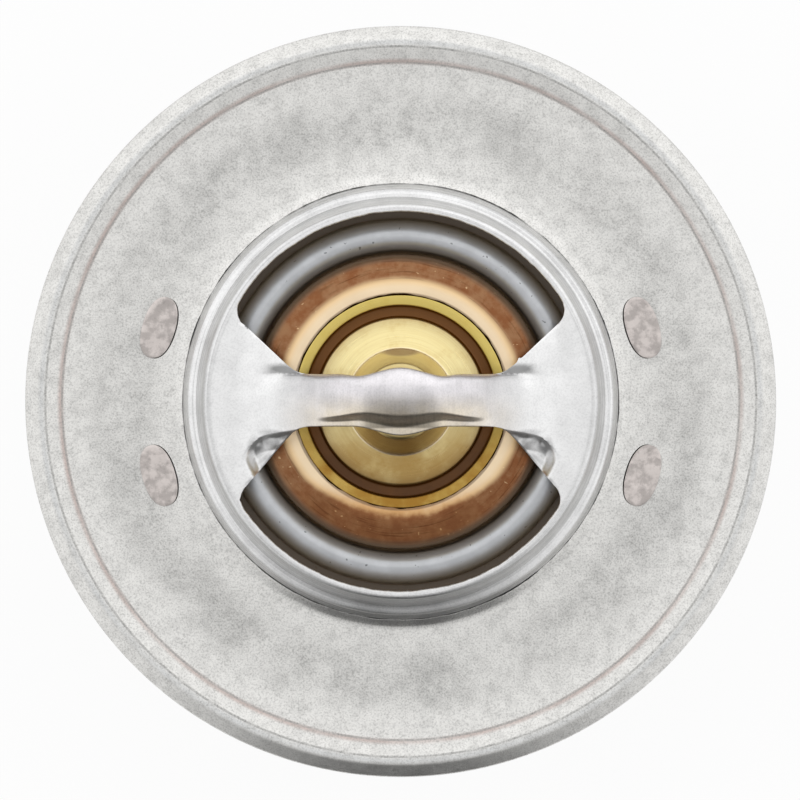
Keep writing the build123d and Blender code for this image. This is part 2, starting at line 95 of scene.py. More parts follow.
def lengths(**rows):
    """Sizes shown in the user's units, each from a description and a default in millimetres."""
    return {
        name: FloatProperty(
            name=name.replace("_", " ").title(),
            description=text,
            default=size * MM,
            unit="LENGTH",
            precision=6,
        )
        for name, (text, size) in rows.items()
    }


def angle(name, description, degrees):
    """An angle, shown in the user's units."""
    return FloatProperty(name=name, description=description, default=math.radians(degrees), subtype="ANGLE")


def colour(name, description, hex_colour):
    """A finish's colour, given as the eye sees it."""
    return FloatVectorProperty(
        name=name, description=description, default=linear(hex_colour), subtype="COLOR", min=0, max=1
    )


class FlangeSizes(bpy.types.PropertyGroup):
    """Sizes of the flange ring and of the tabs staked into it."""

    __annotations__ = lengths(
        radius=("Outer radius of the rim", bound("flange", 1, "x")),
        sheet=("Thickness of the sheet", 0.9),
        bore=("Radius of the hole round the bridge, at its top", 15.6),
        bore_under=("Radius of that hole at its foot", 16.1),
        crest=("Height of the raised rim", 1.14),
        foot_inset=("From the rim's edge in to the foot of its slope", 2.7),
        crest_inset=("From the rim's edge in to its crest", 1.5),
        turn_down=("Height of the turned edge", 0.98),
        burr=("Height of the bore's upturned lip", 0.33),
        dish=("Hollow of the face between the bore and the rim", 0.15),
        brim_seat=("Radius of the shallow seat for the bridge's brim", 20.75),
        brim_depth=("Depth of that seat", 0.1),
        tab_circle=("Radius on which the tabs stand", 18.15),
        head_length=("Length of a staked head", 4.55),
        head_width=("Width of a staked head", 2.4),
        head_gap=("Gap round a staked head", 0.07),
    )
    tab_angle: angle("Tab Angle", "Angle of a tab from the strap's line", 17)


class BridgeSizes(bpy.types.PropertyGroup):
    """Sizes of the bridge: its stepped collar, its windows and its strap."""

    __annotations__ = lengths(
        sheet=("Thickness of the sheet", 0.8),
        brim=("Radius of the brim", bound("upper_bridge", 1, "x")),
        brim_height=("Height of the brim's top", 0.1),
        collar_base=("Radius of the collar at the brim", 16.0),
        step_outer=("Outer radius of the collar's step", 15.25),
        step_outer_height=("Height there", 2.2),
        step_inner=("Inner radius of the collar's step", 14.65),
        step_inner_height=("Height there", 2.5),
        land=("Radius of the land", 14.1),
        land_height=("Height of the land", 5.2),
        window=("Outer radius of the windows", 13.58),
        window_corner=("Radius of a window's corners", 1.3),
        crown=("Height of the strap's crown", 14.05),
        ridge=("Where the crown is highest, north of the middle line", 1.2),
        crown_flat=("Half length of the level crown", 2.0),
        root_reach=("Where the strap's arch comes down to the land", 11.5),
        fan_reach=("Where the strap starts to fan out", 7.4),
        fan_north=("Half width of the fan at the root reach, northwards", 5.8),
        fan_south=("Half width of the fan at the root reach, southwards", 6.6),
        waist=("Half width of the strap between seat and fan", 1.78),
        wider=("How much wider its northern half gets towards the fan", 0.17),
        seat=("Half width of the strap over the piston", 2.42),
        seat_reach=("Half length of the swelling over the piston", 3.4),
        north_fall=("Fall of the strap's rounded northern side", 0.95),
        depth=("Fall from the crown to the southern lip", 0.95),
        lip=("Width of the southern lip", 0.42),
        valley=("Depth of the crease where the strap's northern side meets the land", 0.55),
        pocket=("Depth of the crumpled pocket beside each root", 0.36),
        crumple=("Height of the folds in that pocket", 0.09),
        roll=("Rounding of a sheared edge", 0.1),
        bump=("Radius of the pip over the piston", 1.7),
        bump_rise=("Height of that pip", 0.1),
    )
    lean: angle("Lean", "Steepness with which the crown leans south over the piston", 21)


class ValveSizes(bpy.types.PropertyGroup):
    """Sizes of the valve disc, the wax cup and the brass guide."""

    __annotations__ = lengths(
        sheet=("Thickness of the disc and the cup", 0.8),
        web_top=("Height of the disc's web", 0.755),
        rim_top=("Height of the disc's rim", 1.905),
        disc=("Radius of the disc", bound("valve_disc", 1, "x")),
        bead_inner=("Inner radius of the bead", 10.65),
        bead_outer=("Outer radius of the bead", 13.1),
        bead_height=("Height of the bead over the rim", 1.35),
        cup=("Radius of the cup's body", 7.9),
        cup_bottom=("Height of the cup's flat end", bound("wax_cup", 0, "z")),
        head=("Radius of the cup's head", bound("wax_cup", 1, "x")),
        head_top=("Height of the crimped lip", bound("wax_cup", 1, "z")),
        lip=("Inner radius of the crimped lip", 7.75),
        guide_top=("Height of the guide's neck", bound("piston_guide", 1, "z")),
        guide_neck=("Radius at the foot of the neck", 3.8),
        guide_neck_top=("Radius at the top of the neck", 2.7),
        guide_boss=("Radius of the boss", 6.03),
        guide_ring=("Inner radius of the ring under the lip", 6.9),
        piston=("Radius of the piston", bound("piston", 1, "x")),
    )


class CageSizes(bpy.types.PropertyGroup):
    """Sizes of the lower frame and the spring in it."""

    __annotations__ = lengths(
        sheet=("Thickness of the frame's sheet", 1.2),
        outer=("Outer radius of the legs", 18.75),
        shoulder=("Height where the legs turn in", -8.0),
        floor=("Height of the floor's underside", -25.5),
        floor_outer=("Radius of the floor", 12.0),
        collar_inner=("Inner radius of the collar round the cup", 8.05),
        collar_end=("Height of the collar's end", bound("lower_frame", 0, "z")),
        leg=("Half width of a leg", 7.95),
        window_floor=("Height of the gaps' lower edge over the floor", 3.5),
        window_corner=("Radius of the gaps' corners", 2.5),
        wire=("Diameter of the spring's wire", 1.8),
        coil=("Mean radius of the spring", 10.0),
        spring_floor=("Height of the spring's lower seat", bound("main_spring", 0, "z")),
        spring_top=("Height of the spring's upper seat", bound("main_spring", 1, "z")),
    )
    active_coils: IntProperty(
        name="Active Coils", description="Coils that are free to move", default=4, min=1, max=12
    )


class Finishes(bpy.types.PropertyGroup):
    """Colours of the finishes."""

    flange: colour("Flange", "Tumbled stainless steel", "#E8E7E4")
    bridge: colour("Bridge", "Drawn stainless steel", "#F0F0F0")
    disc: colour("Disc", "Bright rolled steel", "#C6C8CB")
    cage: colour("Cage", "Pressed steel", "#CBCAC6")
    staked: colour("Staked", "Pressed steel, struck by the staking tool", "#D3CBC7")
    spring: colour("Spring", "Drawn spring wire", "#B4B2AE")
    copper: colour("Copper", "Copper as drawn", "#F2DBB9")
    brass: colour("Brass", "Turned brass", "#F4E4AA")
    piston: colour("Piston", "Ground steel", "#C9C9C9")
    floor: colour("Floor", "White paper", "#FBFBFB")


class StageSizes(bpy.types.PropertyGroup):
    """Camera and light."""

    __annotations__ = lengths(
        camera_height=("From the flange up to the camera", 1200),
        view_width=("Width that the picture shows at the flange", 57.4),
        view_x=("Sideways place of the camera", -0.05),
        view_y=("Place of the camera along the windows", 0.11),
        floor_gap=("From the part's lowest point down to the floor", 0.05),
        floor_front=("How far the paper reaches in front of the part", 80),
    )
    dome: FloatProperty(name="Dome", description="Brightness of the light tent", default=1.0, min=0, max=4)


class ThermostatSettings(bpy.types.PropertyGroup):
    """Everything that can be changed, by group."""

    flange: PointerProperty(type=FlangeSizes)
    bridge: PointerProperty(type=BridgeSizes)
    valve: PointerProperty(type=ValveSizes)
    cage: PointerProperty(type=CageSizes)
    finishes: PointerProperty(type=Finishes)
    stage: PointerProperty(type=StageSizes)


# ---------------------------------------------------------------- profiles and meshes


def unit(vector):
    """The vector at a length of 1."""
    return vector / np.linalg.norm(vector)


def rounded(points, bends, closed=False):
    """A run of (radius, height) points with each corner turned into an arc of its bend."""
    count = len(points)
    corners = [np.array(point, float) for point in points]
    run = []
    for i, (corner, bend) in enumerate(zip(corners, bends)):
        open_end = not closed and i in (0, count - 1)
        if bend <= 0 or open_end:
            run.append(corner)
            continue
        before = unit(corners[i - 1] - corner)
        after = unit(corners[(i + 1) % count] - corner)
        turn = math.pi - math.acos(max(-1, min(1, float(before @ after))))
        centre = corner + unit(before + after) * bend / math.cos(turn / 2)
        start = corner + before * bend * math.tan(turn / 2) - centre
        side = math.copysign(1, before[1] * after[0] - before[0] * after[1])
        steps = max(2, math.ceil(turn / ARC_STEP))
        for step in range(steps + 1):
            angle = side * turn * step / steps
            c, s = math.cos(angle), math.sin(angle)
            run.append(centre + np.array([c * start[0] - s * start[1], s * start[0] + c * start[1]]))
    return np.array(run)


def divided(run, step, closed=False):
    """The run with its long stretches cut into pieces of about one step."""
    ends = np.roll(run, -1, axis=0) if closed else run[1:]
    starts = run if closed else run[:-1]
    pieces = []
    for start, end in zip(starts, ends):
        cuts = max(1, math.ceil(np.linalg.norm(end - start) / step))
        pieces += [start + (end - start) * cut / cuts for cut in range(cuts)]
    if not closed:
        pieces.append(run[-1])
    return np.array(pieces)


def mitred(points, sheet):
    """The run of points moved one thickness to its right, with mitred corners."""
    corners = [np.array(point, float) for point in points]
    ways = [unit(b - a) for a, b in zip(corners, corners[1:])]
    rights = [np.array([way[1], -way[0]]) for way in ways]
    back = [corners[0] + rights[0] * sheet]
    for corner, before, after in zip(corners[1:], rights, rights[1:]):
        both = before + after
        back.append(corner + both * 2 * sheet / float(both @ both))
    back.append(corners[-1] + rights[-1] * sheet)
    return [tuple(corner) for corner in back]


def sheet_outline(points, bends, sheet, edge):
    """Closed, rounded outline of a run of sheet; bends are the inner radii."""
    corners = [np.array(point) for point in points]
    ways = [b - a for a, b in zip(corners, corners[1:])]
    face_bends, back_bends = [], []
    for before, after, inner in zip(ways, ways[1:], bends):
        outer = inner + abs(sheet)
        towards_metal = (before[0] * after[1] - before[1] * after[0]) * sheet < 0
        face_bends.append(outer if towards_metal else inner)
        back_bends.append(inner if towards_metal else outer)
    outline = [*points, *reversed(mitred(points, sheet))]
    return rounded(outline, [edge, *face_bends, edge, edge, *reversed(back_bends), edge], closed=True)


def new_object(name, vertices, faces):
    """A mesh object at the origin, with doubles merged and faces pointing outwards."""
    mesh = bpy.data.meshes.new(name)
    mesh.from_pydata([tuple(map(float, v)) for v in vertices], [], faces)
    shape = bmesh.new()
    shape.from_mesh(mesh)
    bmesh.ops.remove_doubles(shape, verts=shape.verts, dist=1e-7)
    bmesh.ops.dissolve_degenerate(shape, edges=shape.edges, dist=1e-8)
    bmesh.ops.recalc_face_normals(shape, faces=shape.faces)
    shape.to_mesh(mesh)
    shape.free()
    mesh.shade_smooth()
    made = bpy.data.objects.new(name, mesh)
    bpy.context.scene.collection.objects.link(made)
    return made


def grid_faces(rows, columns, wrap_rows=False, wrap_columns=False, start=0):
    """Quads of a grid of vertices numbered along its columns."""
    faces = []
    for i in range(rows if wrap_rows else rows - 1):
        for j in range(columns if wrap_columns else columns - 1):
            a = start + i * columns + j
            b = start + i * columns + (j + 1) % columns
            below = start + ((i + 1) % rows) * columns
            faces.append((a, b, below + (j + 1) % columns, below + j))
    return faces


def joined_grids(grids):
    """Vertices and quads of several grids of points; each one says if its columns close up."""
    vertices, faces = [], []
    for points, wrap in grids:
        rows, columns, _ = points.shape
        faces += grid_faces(rows, columns, wrap_columns=wrap, start=len(vertices))
        vertices.extend(points.reshape(-1, 3))
    return vertices, faces


def thicken(obj, sheet):
    """Give a face its sheet's thickness, inwards."""
    thick = obj.modifiers.new("sheet", "SOLIDIFY")
    thick.thickness = sheet
    thick.offset = -1


def face_up(obj):
    """Turn a surface over if its first face looks down."""
    if obj.data.polygons[0].normal.z < 0:
        obj.data.flip_normals()


def from_axis(points):
    """Distance of each point from the axis."""
    return np.hypot(points[:, 0], points[:, 1])


def spin(name, outline, segments, closed=True, shape=None):
    """Turn an outline of (radius, height) points about the axis; shape may move its points."""
    angles = np.linspace(0, 2 * math.pi, segments, endpoint=False)[None, :]
    radii = outline[:, :1] + 0 * angles
    heights = outline[:, 1:] + 0 * angles
    if shape:
        radii, heights = shape(radii, heights, angles + 0 * radii)
    vertices = np.stack([radii * np.cos(angles), radii * np.sin(angles), heights], axis=-1)
    faces = grid_faces(len(outline), segments, wrap_rows=closed, wrap_columns=True)
    return new_object(name, vertices.reshape(-1, 3), faces)


def ragged(angles, waves, seed):
    """A wavering value from about -1 to 1 round a circle, with that many waves at its finest."""
    chance = np.random.default_rng(seed)
    total = np.zeros_like(angles)
    power = 0.0
    for wave in np.unique(np.geomspace(5, waves, 28).astype(int)):
        size = wave**-0.35
        total += size * np.sin(wave * angles + chance.uniform(0, 2 * math.pi))
        power += size * size / 2
    return total / math.sqrt(power) / 2


def distance_to_run(points, run):
    """Distance of each point of the plane to a run of straight stretches."""
    nearest = np.full(len(points), np.inf)
    for start, end in zip(run, run[1:]):
        way = end - start
        share = np.clip((points - start) @ way / float(way @ way), 0, 1)
        gap = points - start - share[:, None] * way
        nearest = np.minimum(nearest, np.hypot(gap[:, 0], gap[:, 1]))
    return nearest


def near(value, place, width):
    """1 at a place, falling to 0 about a width away."""
    return np.exp(-(((value - place) / width) ** 2))


def ease(fraction):
    """A smooth step from 0 to 1, held at both ends."""
    held = np.clip(fraction, 0, 1)
    return held * held * (3 - 2 * held)


def bake(obj, sharp_angle=None):
    """Turn an object's modifiers into a plain mesh."""
    graph = bpy.context.evaluated_depsgraph_get()
    graph.update()
    mesh = bpy.data.meshes.new_from_object(obj.evaluated_get(graph), depsgraph=graph)
    mesh.name = obj.name
    obj.modifiers.clear()
    obj.data = mesh
    mesh.shade_smooth()
    if sharp_angle:
        mesh.set_sharp_from_angle(angle=sharp_angle)
    return obj


def place(obj, body, slot, material, *nodes):
    """Hand a finished piece to the frame: its body, its material and the nodes it stands for; slot is not
    used.
    """
    obj.data.materials.clear()
    obj.data.materials.append(material)
    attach(obj, body)
    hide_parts(*nodes)
    return obj


# ---------------------------------------------------------------- materials


class Wire:
    """An output in a node tree. Arithmetic on it adds the nodes that it needs."""

    def __init__(self, tree, socket):
        self.tree = tree
        self.socket = socket

    def math(self, operation, other=0.0):
        return add_node(self.tree, "ShaderNodeMath", {0: self, 1: other}, operation=operation)

    def __add__(self, other):
        return self.math("ADD", other)

    def __sub__(self, other):
        return self.math("SUBTRACT", other)

    def __rsub__(self, other):
        return add_node(self.tree, "ShaderNodeMath", {0: other, 1: self}, operation="SUBTRACT")

    def __mul__(self, other):
        return self.math("MULTIPLY", other)

    def __truediv__(self, other):
        return self.math("DIVIDE", other)

    def __abs__(self):
        return self.math("ABSOLUTE")

    def at_least(self, other):
        return self.math("MAXIMUM", other)

    def at_most(self, other):
        return self.math("MINIMUM", other)

    def parts(self):
        """A vector's x, y and z."""
        return add_node(self.tree, "ShaderNodeSeparateXYZ", {0: self}, out=(0, 1, 2))


def add_node(tree, kind, inputs=None, out=0, **settings):
    """Add a node with its settings and links, and return the output or outputs asked for."""
    made = tree.nodes.new(kind)
    for name, value in settings.items():
        setattr(made, name, value)
    for key, value in (inputs or {}).items():
        socket = made.inputs[key]
        if isinstance(value, Wire):
            tree.links.new(value.socket, socket)
        else:
            socket.default_value = (*value, 1) if socket.type == "RGBA" else value
    if isinstance(out, tuple):
        return [Wire(tree, made.outputs[key]) for key in out]
    return Wire(tree, made.outputs[out])


def start_material(name):
    """A material with an empty tree, and the place of each point of its piece."""
    material = bpy.data.materials.new(name)
    material.use_nodes = True
    material.node_tree.nodes.clear()
    return material, add_node(material.node_tree, "ShaderNodeTexCoord", out="Object")


def end_material(material, seen, roughness, metallic=1.0, heights=()):
    """Close a material with one Principled shader.

    seen is the base colour, and heights are pairs of a 0 to 1 height and its depth in metres,
    one bump on top of the other.
    """
    tree = material.node_tree
    inputs = {"Base Color": seen, "Roughness": roughness, "Metallic": metallic}
    for height, depth in heights:
        below = {"Normal": inputs["Normal"]} if "Normal" in inputs else {}
        bump = {"Height": height, "Distance": depth, "Strength": 1.0, **below}
        inputs["Normal"] = add_node(tree, "ShaderNodeBump", bump)
    shader = add_node(tree, "ShaderNodeBsdfPrincipled", inputs)
    add_node(tree, "ShaderNodeOutputMaterial", {"Surface": shader}, out=())
    return material


def grain(where, size, detail=2.0, roughness=0.5):
    """Cloudy noise whose patches are about that size in metres, from 0 to 1."""
    inputs = {"Vector": where, "Scale": 1 / size, "Detail": detail, "Roughness": roughness}
    return add_node(where.tree, "ShaderNodeTexNoise", inputs, out="Fac")


def span(value, low, high, to_low=0.0, to_high=1.0, kind="SMOOTHSTEP"):
    """Map a value from one span to another, held at the ends."""
    ends = {0: value, 1: low, 2: high, 3: to_low, 4: to_high}
    return add_node(value.tree, "ShaderNodeMapRange", ends, interpolation_type=kind)


def blend(share, first, second):
    """Mix two colours, the second one by a share."""
    return add_node(share.tree, "ShaderNodeMix", {0: share, 6: first, 7: second}, out=2, data_type="RGBA")


def shade(base, factor):
    """A colour made darker or lighter by a factor."""
    return tuple(min(1, c * factor) for c in base)


def polar(where, along, across):
    """Coordinates for marks that run round the axis, or out from it, and the radius.

    along is the marks' length round the circle at the radius of 10 mm, across their width in
    radius and in height. Both are in metres.
    """
    tree = where.tree
    x, y, z = where.parts()
    flat = add_node(tree, "ShaderNodeCombineXYZ", {0: x, 1: y})
    radius = add_node(tree, "ShaderNodeVectorMath", {0: flat}, out="Value", operation="LENGTH")
    way = add_node(tree, "ShaderNodeVectorMath", {0: flat}, operation="NORMALIZE")
    turned = add_node(tree, "ShaderNodeVectorMath", {0: way, "Scale": 10 * MM / along}, operation="SCALE")
    up = add_node(tree, "ShaderNodeCombineXYZ", {2: (radius + z) * (1 / across)})
    return add_node(tree, "ShaderNodeVectorMath", {0: turned, 1: up}, operation="ADD"), radius


def south_shade(where, first, full):
    """Share of painted shade on the southern side, where the strap and the collar keep the light off,
    between two places in y and broken up by a cloud.
    """
    cloud = grain(where, 2.2 * MM, 4, 0.6)
    return span(where.parts()[1], first, full) * span(cloud, 0.25, 0.6, 0.55, 1)


def shade_spot(where, spot, reach, share):
    """Share of a soft spot of painted shade at a place of the plane, in millimetres, and at its mirror
    image.
    """
    tree = where.tree
    x, y, _ = where.parts()
    flat = add_node(tree, "ShaderNodeCombineXYZ", {0: abs(x), 1: y})
    turn = (0, 0, 0.12)
    inputs = {0: flat, 1: [v * MM for v in (*spot, 0)], 2: turn, 3: [v * MM for v in (*reach, 1)]}
    moved = add_node(tree, "ShaderNodeMapping", inputs, vector_type="TEXTURE")
    far = add_node(tree, "ShaderNodeVectorMath", {0: moved}, out="Value", operation="LENGTH")
    return span(far, 0.3, 1.0, share, 0)


def tumbled_stainless(base, sizes):
    """Stainless sheet, blanked and then tumbled with stones.

    The eye gets a pale, matt grey with a fine salt-and-pepper grain, a duller belt where the
    press clamped it, a warm and a cool line along the rim's two creases and short scuffs running
    outwards.
    """
    material, where = start_material("tumbled_stainless")
    pepper = grain(where, 0.13 * MM, 2, 0.7)
    cloud = grain(where, 1.1 * MM, 6, 0.7)
    drift = grain(where, 5 * MM, 3, 0.6)
    scuffs, radius = polar(where, 0.10 * MM, 3.0 * MM)
    belt = span(radius, 17.2 * MM, 19.6 * MM) * span(radius, 20.8 * MM, 23.2 * MM, 1, 0)
    tone = belt * span(drift, 0.3, 0.7, 0.05, 0.36)
    tone += span(cloud, 0.3, 0.62, 0.24, 0) + span(pepper, 0.25, 0.6, 0.42, 0)
    # Painted shade: the flange is darker just outside the bore on its southern side, where the collar's
    # shadow falls.
    foot = span(radius, sizes.bore + 0.35 * MM, sizes.bore + 0.8 * MM, 0.8, 0)
    tone += south_shade(where, -12.5 * MM, -15.3 * MM) * foot
    for inset in (sizes.foot_inset, sizes.crest_inset):
        line = span(abs(radius - (sizes.radius - inset)), 0.03 * MM, 0.12 * MM, 0.6, 0)
        tone += line * span(cloud, 0.3, 0.6)
    tint = base
    for inset, width, share, seen in (
        (sizes.foot_inset - 0.12 * MM, 0.32 * MM, 0.75, "#BEA9A2"),
        (sizes.crest_inset - 0.3 * MM, 0.34 * MM, 0.3, "#BFC5CC"),
    ):
        band = span(abs(radius - (sizes.radius - inset)), 0, width, share, 0)
        tint = blend(band * span(drift, 0.25, 0.6, 0.45, 1), tint, linear(seen))
    scratch = span(grain(scuffs, 1.0, 1), 0.64, 0.72)
    heights = ((cloud, 10e-6), (pepper, 7e-6), (scratch, 3e-6))
    seen = blend(tone, tint, shade(base, 0.36))
    return end_material(material, seen, span(pepper, 0.3, 0.7, 0.50, 0.36), heights=heights)


def drawn_stainless(base):
    """Stainless sheet, deep drawn.

    The eye gets a satin grey, smoother than the flange, with fine draw lines round the collar
    and across the strap, soft cloudy stretching, a faint violet painted reflection on the arch
    that turns to straw painted shade towards the south, painted shade on the channel's steep
    side, in the roots' creases and pockets and at the collar's southern foot, and a painted dark
    reflection over the piston.
    """
    material, where = start_material("drawn_stainless")
    tree = where.tree
    lines, radius = polar(where, 16 * MM, 0.10 * MM)
    draw = grain(lines, 1.0, 3, 0.6)
    pepper = grain(where, 0.15 * MM, 3, 0.7)
    cloud = grain(where, 1.8 * MM, 4, 0.6)
    on_collar = span(radius, 13.4 * MM, 13.9 * MM)
    on_strap = span(radius, 4 * MM, 9.5 * MM, 1, 0)
    line_size = [1 / (size * MM) for size in (0.16, 2.5, 4)]
    across = add_node(tree, "ShaderNodeMapping", {0: where, 3: line_size})
    tone = span(draw, 0.62, 0.40, 0, 0.35) * on_collar
    tone += span(grain(across, 1.0), 0.35, 0.65, 0.08, 0) * on_strap
    tone += span(pepper, 0.3, 0.6, 0.19, 0) + span(cloud, 0.3, 0.7, 0.14, 0)
    # Painted shade: the strap's faces that look south, such as the channel's steep side, are darkened by
    # their normal.
    facing = add_node(tree, "ShaderNodeTexCoord", out="Normal").parts()[1]
    tone += span(facing, -0.38, -0.8, 0, 0.58) * span(radius, 12.3 * MM, 12.9 * MM, 1, 0)
    # Painted reflection and shade: a slight darkening over the piston stands for the lens's dark
    # reflection, and the collar's foot is darker on its southern side, where its shadow falls.
    centre_reflection = span(radius, 1.2 * MM, 2.6 * MM, 0.06, 0)
    foot = span(radius, 15.0 * MM, 15.5 * MM, 0, 0.3)
    tone += centre_reflection + south_shade(where, -12.0 * MM, -14.8 * MM) * foot
    # Painted shade: soft dark spots in the creases by the roots' northern side, in the crumpled pockets to
    # the south and along the arch.
    for spot, reach, share in (
        ((8.1, 2.36), (1.9, 0.46), 0.75),
        ((10.6, -3.2), (0.5, 1.0), 0.4),
        ((8.9, -2.3), (1.6, 0.4), 0.45),
        ((4.6, 0.0), (1.9, 0.8), 0.2),
    ):
        patch = shade_spot(where, spot, reach, share) * span(cloud, 0.2, 0.5, 0.6, 1)
        tone = tone.at_least((tone + patch).at_most(0.9))
    # Painted reflection and shade: a faint violet over the strap stands for the sky's reflection, and
    # towards the south, in painted shade, the strap turns straw and its dark tone warm brown.
    strap_south_shade = south_shade(where, 0.9 * MM, -1.2 * MM) * on_strap
    reflection_and_shade_tint = blend(on_strap * 0.3, base, linear("#EBDFEA"))
    reflection_and_shade_tint = blend(strap_south_shade, reflection_and_shade_tint, linear("#EBE0CC"))
    dull = blend(strap_south_shade, shade(base, 0.4), linear("#9C9284"))
    heights = ((cloud, 14e-6), (draw * on_collar, 6e-6), (pepper, 2e-6))
    roughness = span(cloud, 0.3, 0.7, 0.44, 0.34)
    return end_material(material, blend(tone, reflection_and_shade_tint, dull), roughness, heights=heights)


def rolled_steel(base, sizes):
    """Cold-rolled steel strip, pressed into the valve disc.

    The eye gets a smooth blue-grey with a soft sheen and a few dark specks, and matt brown
    coolant deposit on both sides of the bead, partly real and partly painted shade.
    """
    material, where = start_material("rolled_steel")
    cloud = grain(where, 1.4 * MM, 4, 0.6)
    rings, radius = polar(where, 12 * MM, 0.25 * MM)
    ring = grain(rings, 1.0)
    # Matt brown deposit on both sides of the bead, partly real and partly painted shade; the darkest brown,
    # in the corner at the bead's outer foot, is painted shade under the collar's edge.
    inside = span(radius, sizes.bead_inner - 0.1 * MM, sizes.bead_inner + 1.0 * MM, 0.95, 0)
    outside = span(radius, sizes.bead_outer - 1.0 * MM, sizes.bead_outer, 0, 0.95)
    scale_and_shade = inside.at_least(outside)
    deep = span(where.parts()[2], sizes.web_top + 1.4 * MM, sizes.web_top + 0.6 * MM)
    scale_and_shade_colour = blend(deep, linear("#8C7C64"), linear("#C0A078"))
    corner = span(radius, sizes.bead_outer - 0.15 * MM, sizes.bead_outer + 0.1 * MM)
    scale_and_shade_colour = blend(corner, scale_and_shade_colour, linear("#54422A"))
    specks = span(grain(where, 0.35 * MM, 1), 0.72, 0.76, 0, 0.8)
    steel = blend(span(cloud, 0.35, 0.7, 0.16, 0) + specks, base, shade(base, 0.35))
    heights = ((cloud, 8e-6), (ring, 3e-6))
    rough = span(ring, 0.3, 0.7, 0.46, 0.38)
    return end_material(material, blend(scale_and_shade, steel, scale_and_shade_colour), rough, 1.0 - scale_and_shade, heights)


def pressed_steel(name, base, patchiness):
    """Thicker steel strip, pressed into the cage and staked at its tabs.

    The eye gets a duller grey than the flange, patchy where a tool struck it.
    """
    material, where = start_material(name)
    cloud = grain(where, 0.9 * MM, 4, 0.6)
    pepper = grain(where, 0.2 * MM, 3, 0.7)
    tone = span(cloud, 0.4, 0.6, patchiness, 0) + span(pepper, 0.3, 0.45, 0.22, 0)
    heights = ((cloud, 14e-6), (pepper, 3e-6))
    seen = blend(tone, base, shade(base, 0.42))
    return end_material(material, seen, span(cloud, 0.3, 0.7, 0.46, 0.3), heights=heights)


def spring_wire(base):
    """Hard-drawn spring wire, oiled.

    The eye gets a darker, glossier grey with faint lines along the wire.
    """
    material, where = start_material("spring_wire")
    draw = grain(polar(where, 5 * MM, 0.12 * MM)[0], 1.0)
    seen = blend(span(draw, 0.35, 0.7, 0.4, 0), base, shade(base, 0.45))
    return end_material(material, seen, span(draw, 0.3, 0.7, 0.36, 0.26), heights=[(draw, 4e-6)])


def drawn_copper(base, sizes):
    """Copper, deep drawn and then spun over at the lip.

    The eye gets a brown, slightly tarnished shoulder scored round by the crimping roll, a few
    bright flecks, a bright lip fresh from rubbing, matt dark brown at the head's outer edge that
    is partly deposit and partly painted shade, and warm painted shade towards the south.
    """
    material, where = start_material("drawn_copper")
    lines, radius = polar(where, 4 * MM, 0.14 * MM)
    score = grain(lines, 1.0, 4, 0.65)
    stain = grain(where, 1.1 * MM, 5, 0.65)
    pepper = grain(where, 0.18 * MM)
    # Painted shade: the copper turns warm brown towards the south, where the strap's shadow falls, and its
    # dark shoulder begins further in there.
    copper_south_shade = south_shade(where, -5.1 * MM, -8.2 * MM)
    reach = radius + copper_south_shade * (0.75 * MM)
    shoulder = span(reach, sizes.lip + 0.77 * MM, sizes.lip + 1.37 * MM)
    flecks = span(grain(where, 0.3 * MM, 1), 0.72, 0.78, 0, 0.5)
    scores = span(score, 0.32, 0.46, 0.5, 0) * shoulder
    edge = span(radius, sizes.lip, sizes.lip + 0.12 * MM, 0.55, 0)
    # Matt dark brown at the head's outer edge, by the narrow gap at the bead: partly deposit, partly
    # painted shade.
    crust_and_shade = span(radius, sizes.head - 0.7 * MM, sizes.head - 0.1 * MM, 0, 0.95)
    seen = base
    for share, tint in (
        (span(reach, sizes.lip + 0.4 * MM, sizes.lip + 0.95 * MM, 0, 0.55), "#E3BC80"),
        (copper_south_shade * 0.8, "#C8935A"),
        (shoulder * (span(stain, 0.3, 0.65, 0.84, 1) - flecks), "#845537"),
        (scores.at_least(edge), "#4E2C17"),
        (crust_and_shade, "#66523D"),
    ):
        seen = blend(share, seen, linear(tint))
    heights = ((stain, 10e-6), (score * shoulder, 14e-6), (pepper, 2e-6))
    bare = 1.0 - crust_and_shade.at_least(edge)
    return end_material(material, seen, span(stain, 0.3, 0.7, 0.42, 0.28), bare, heights)


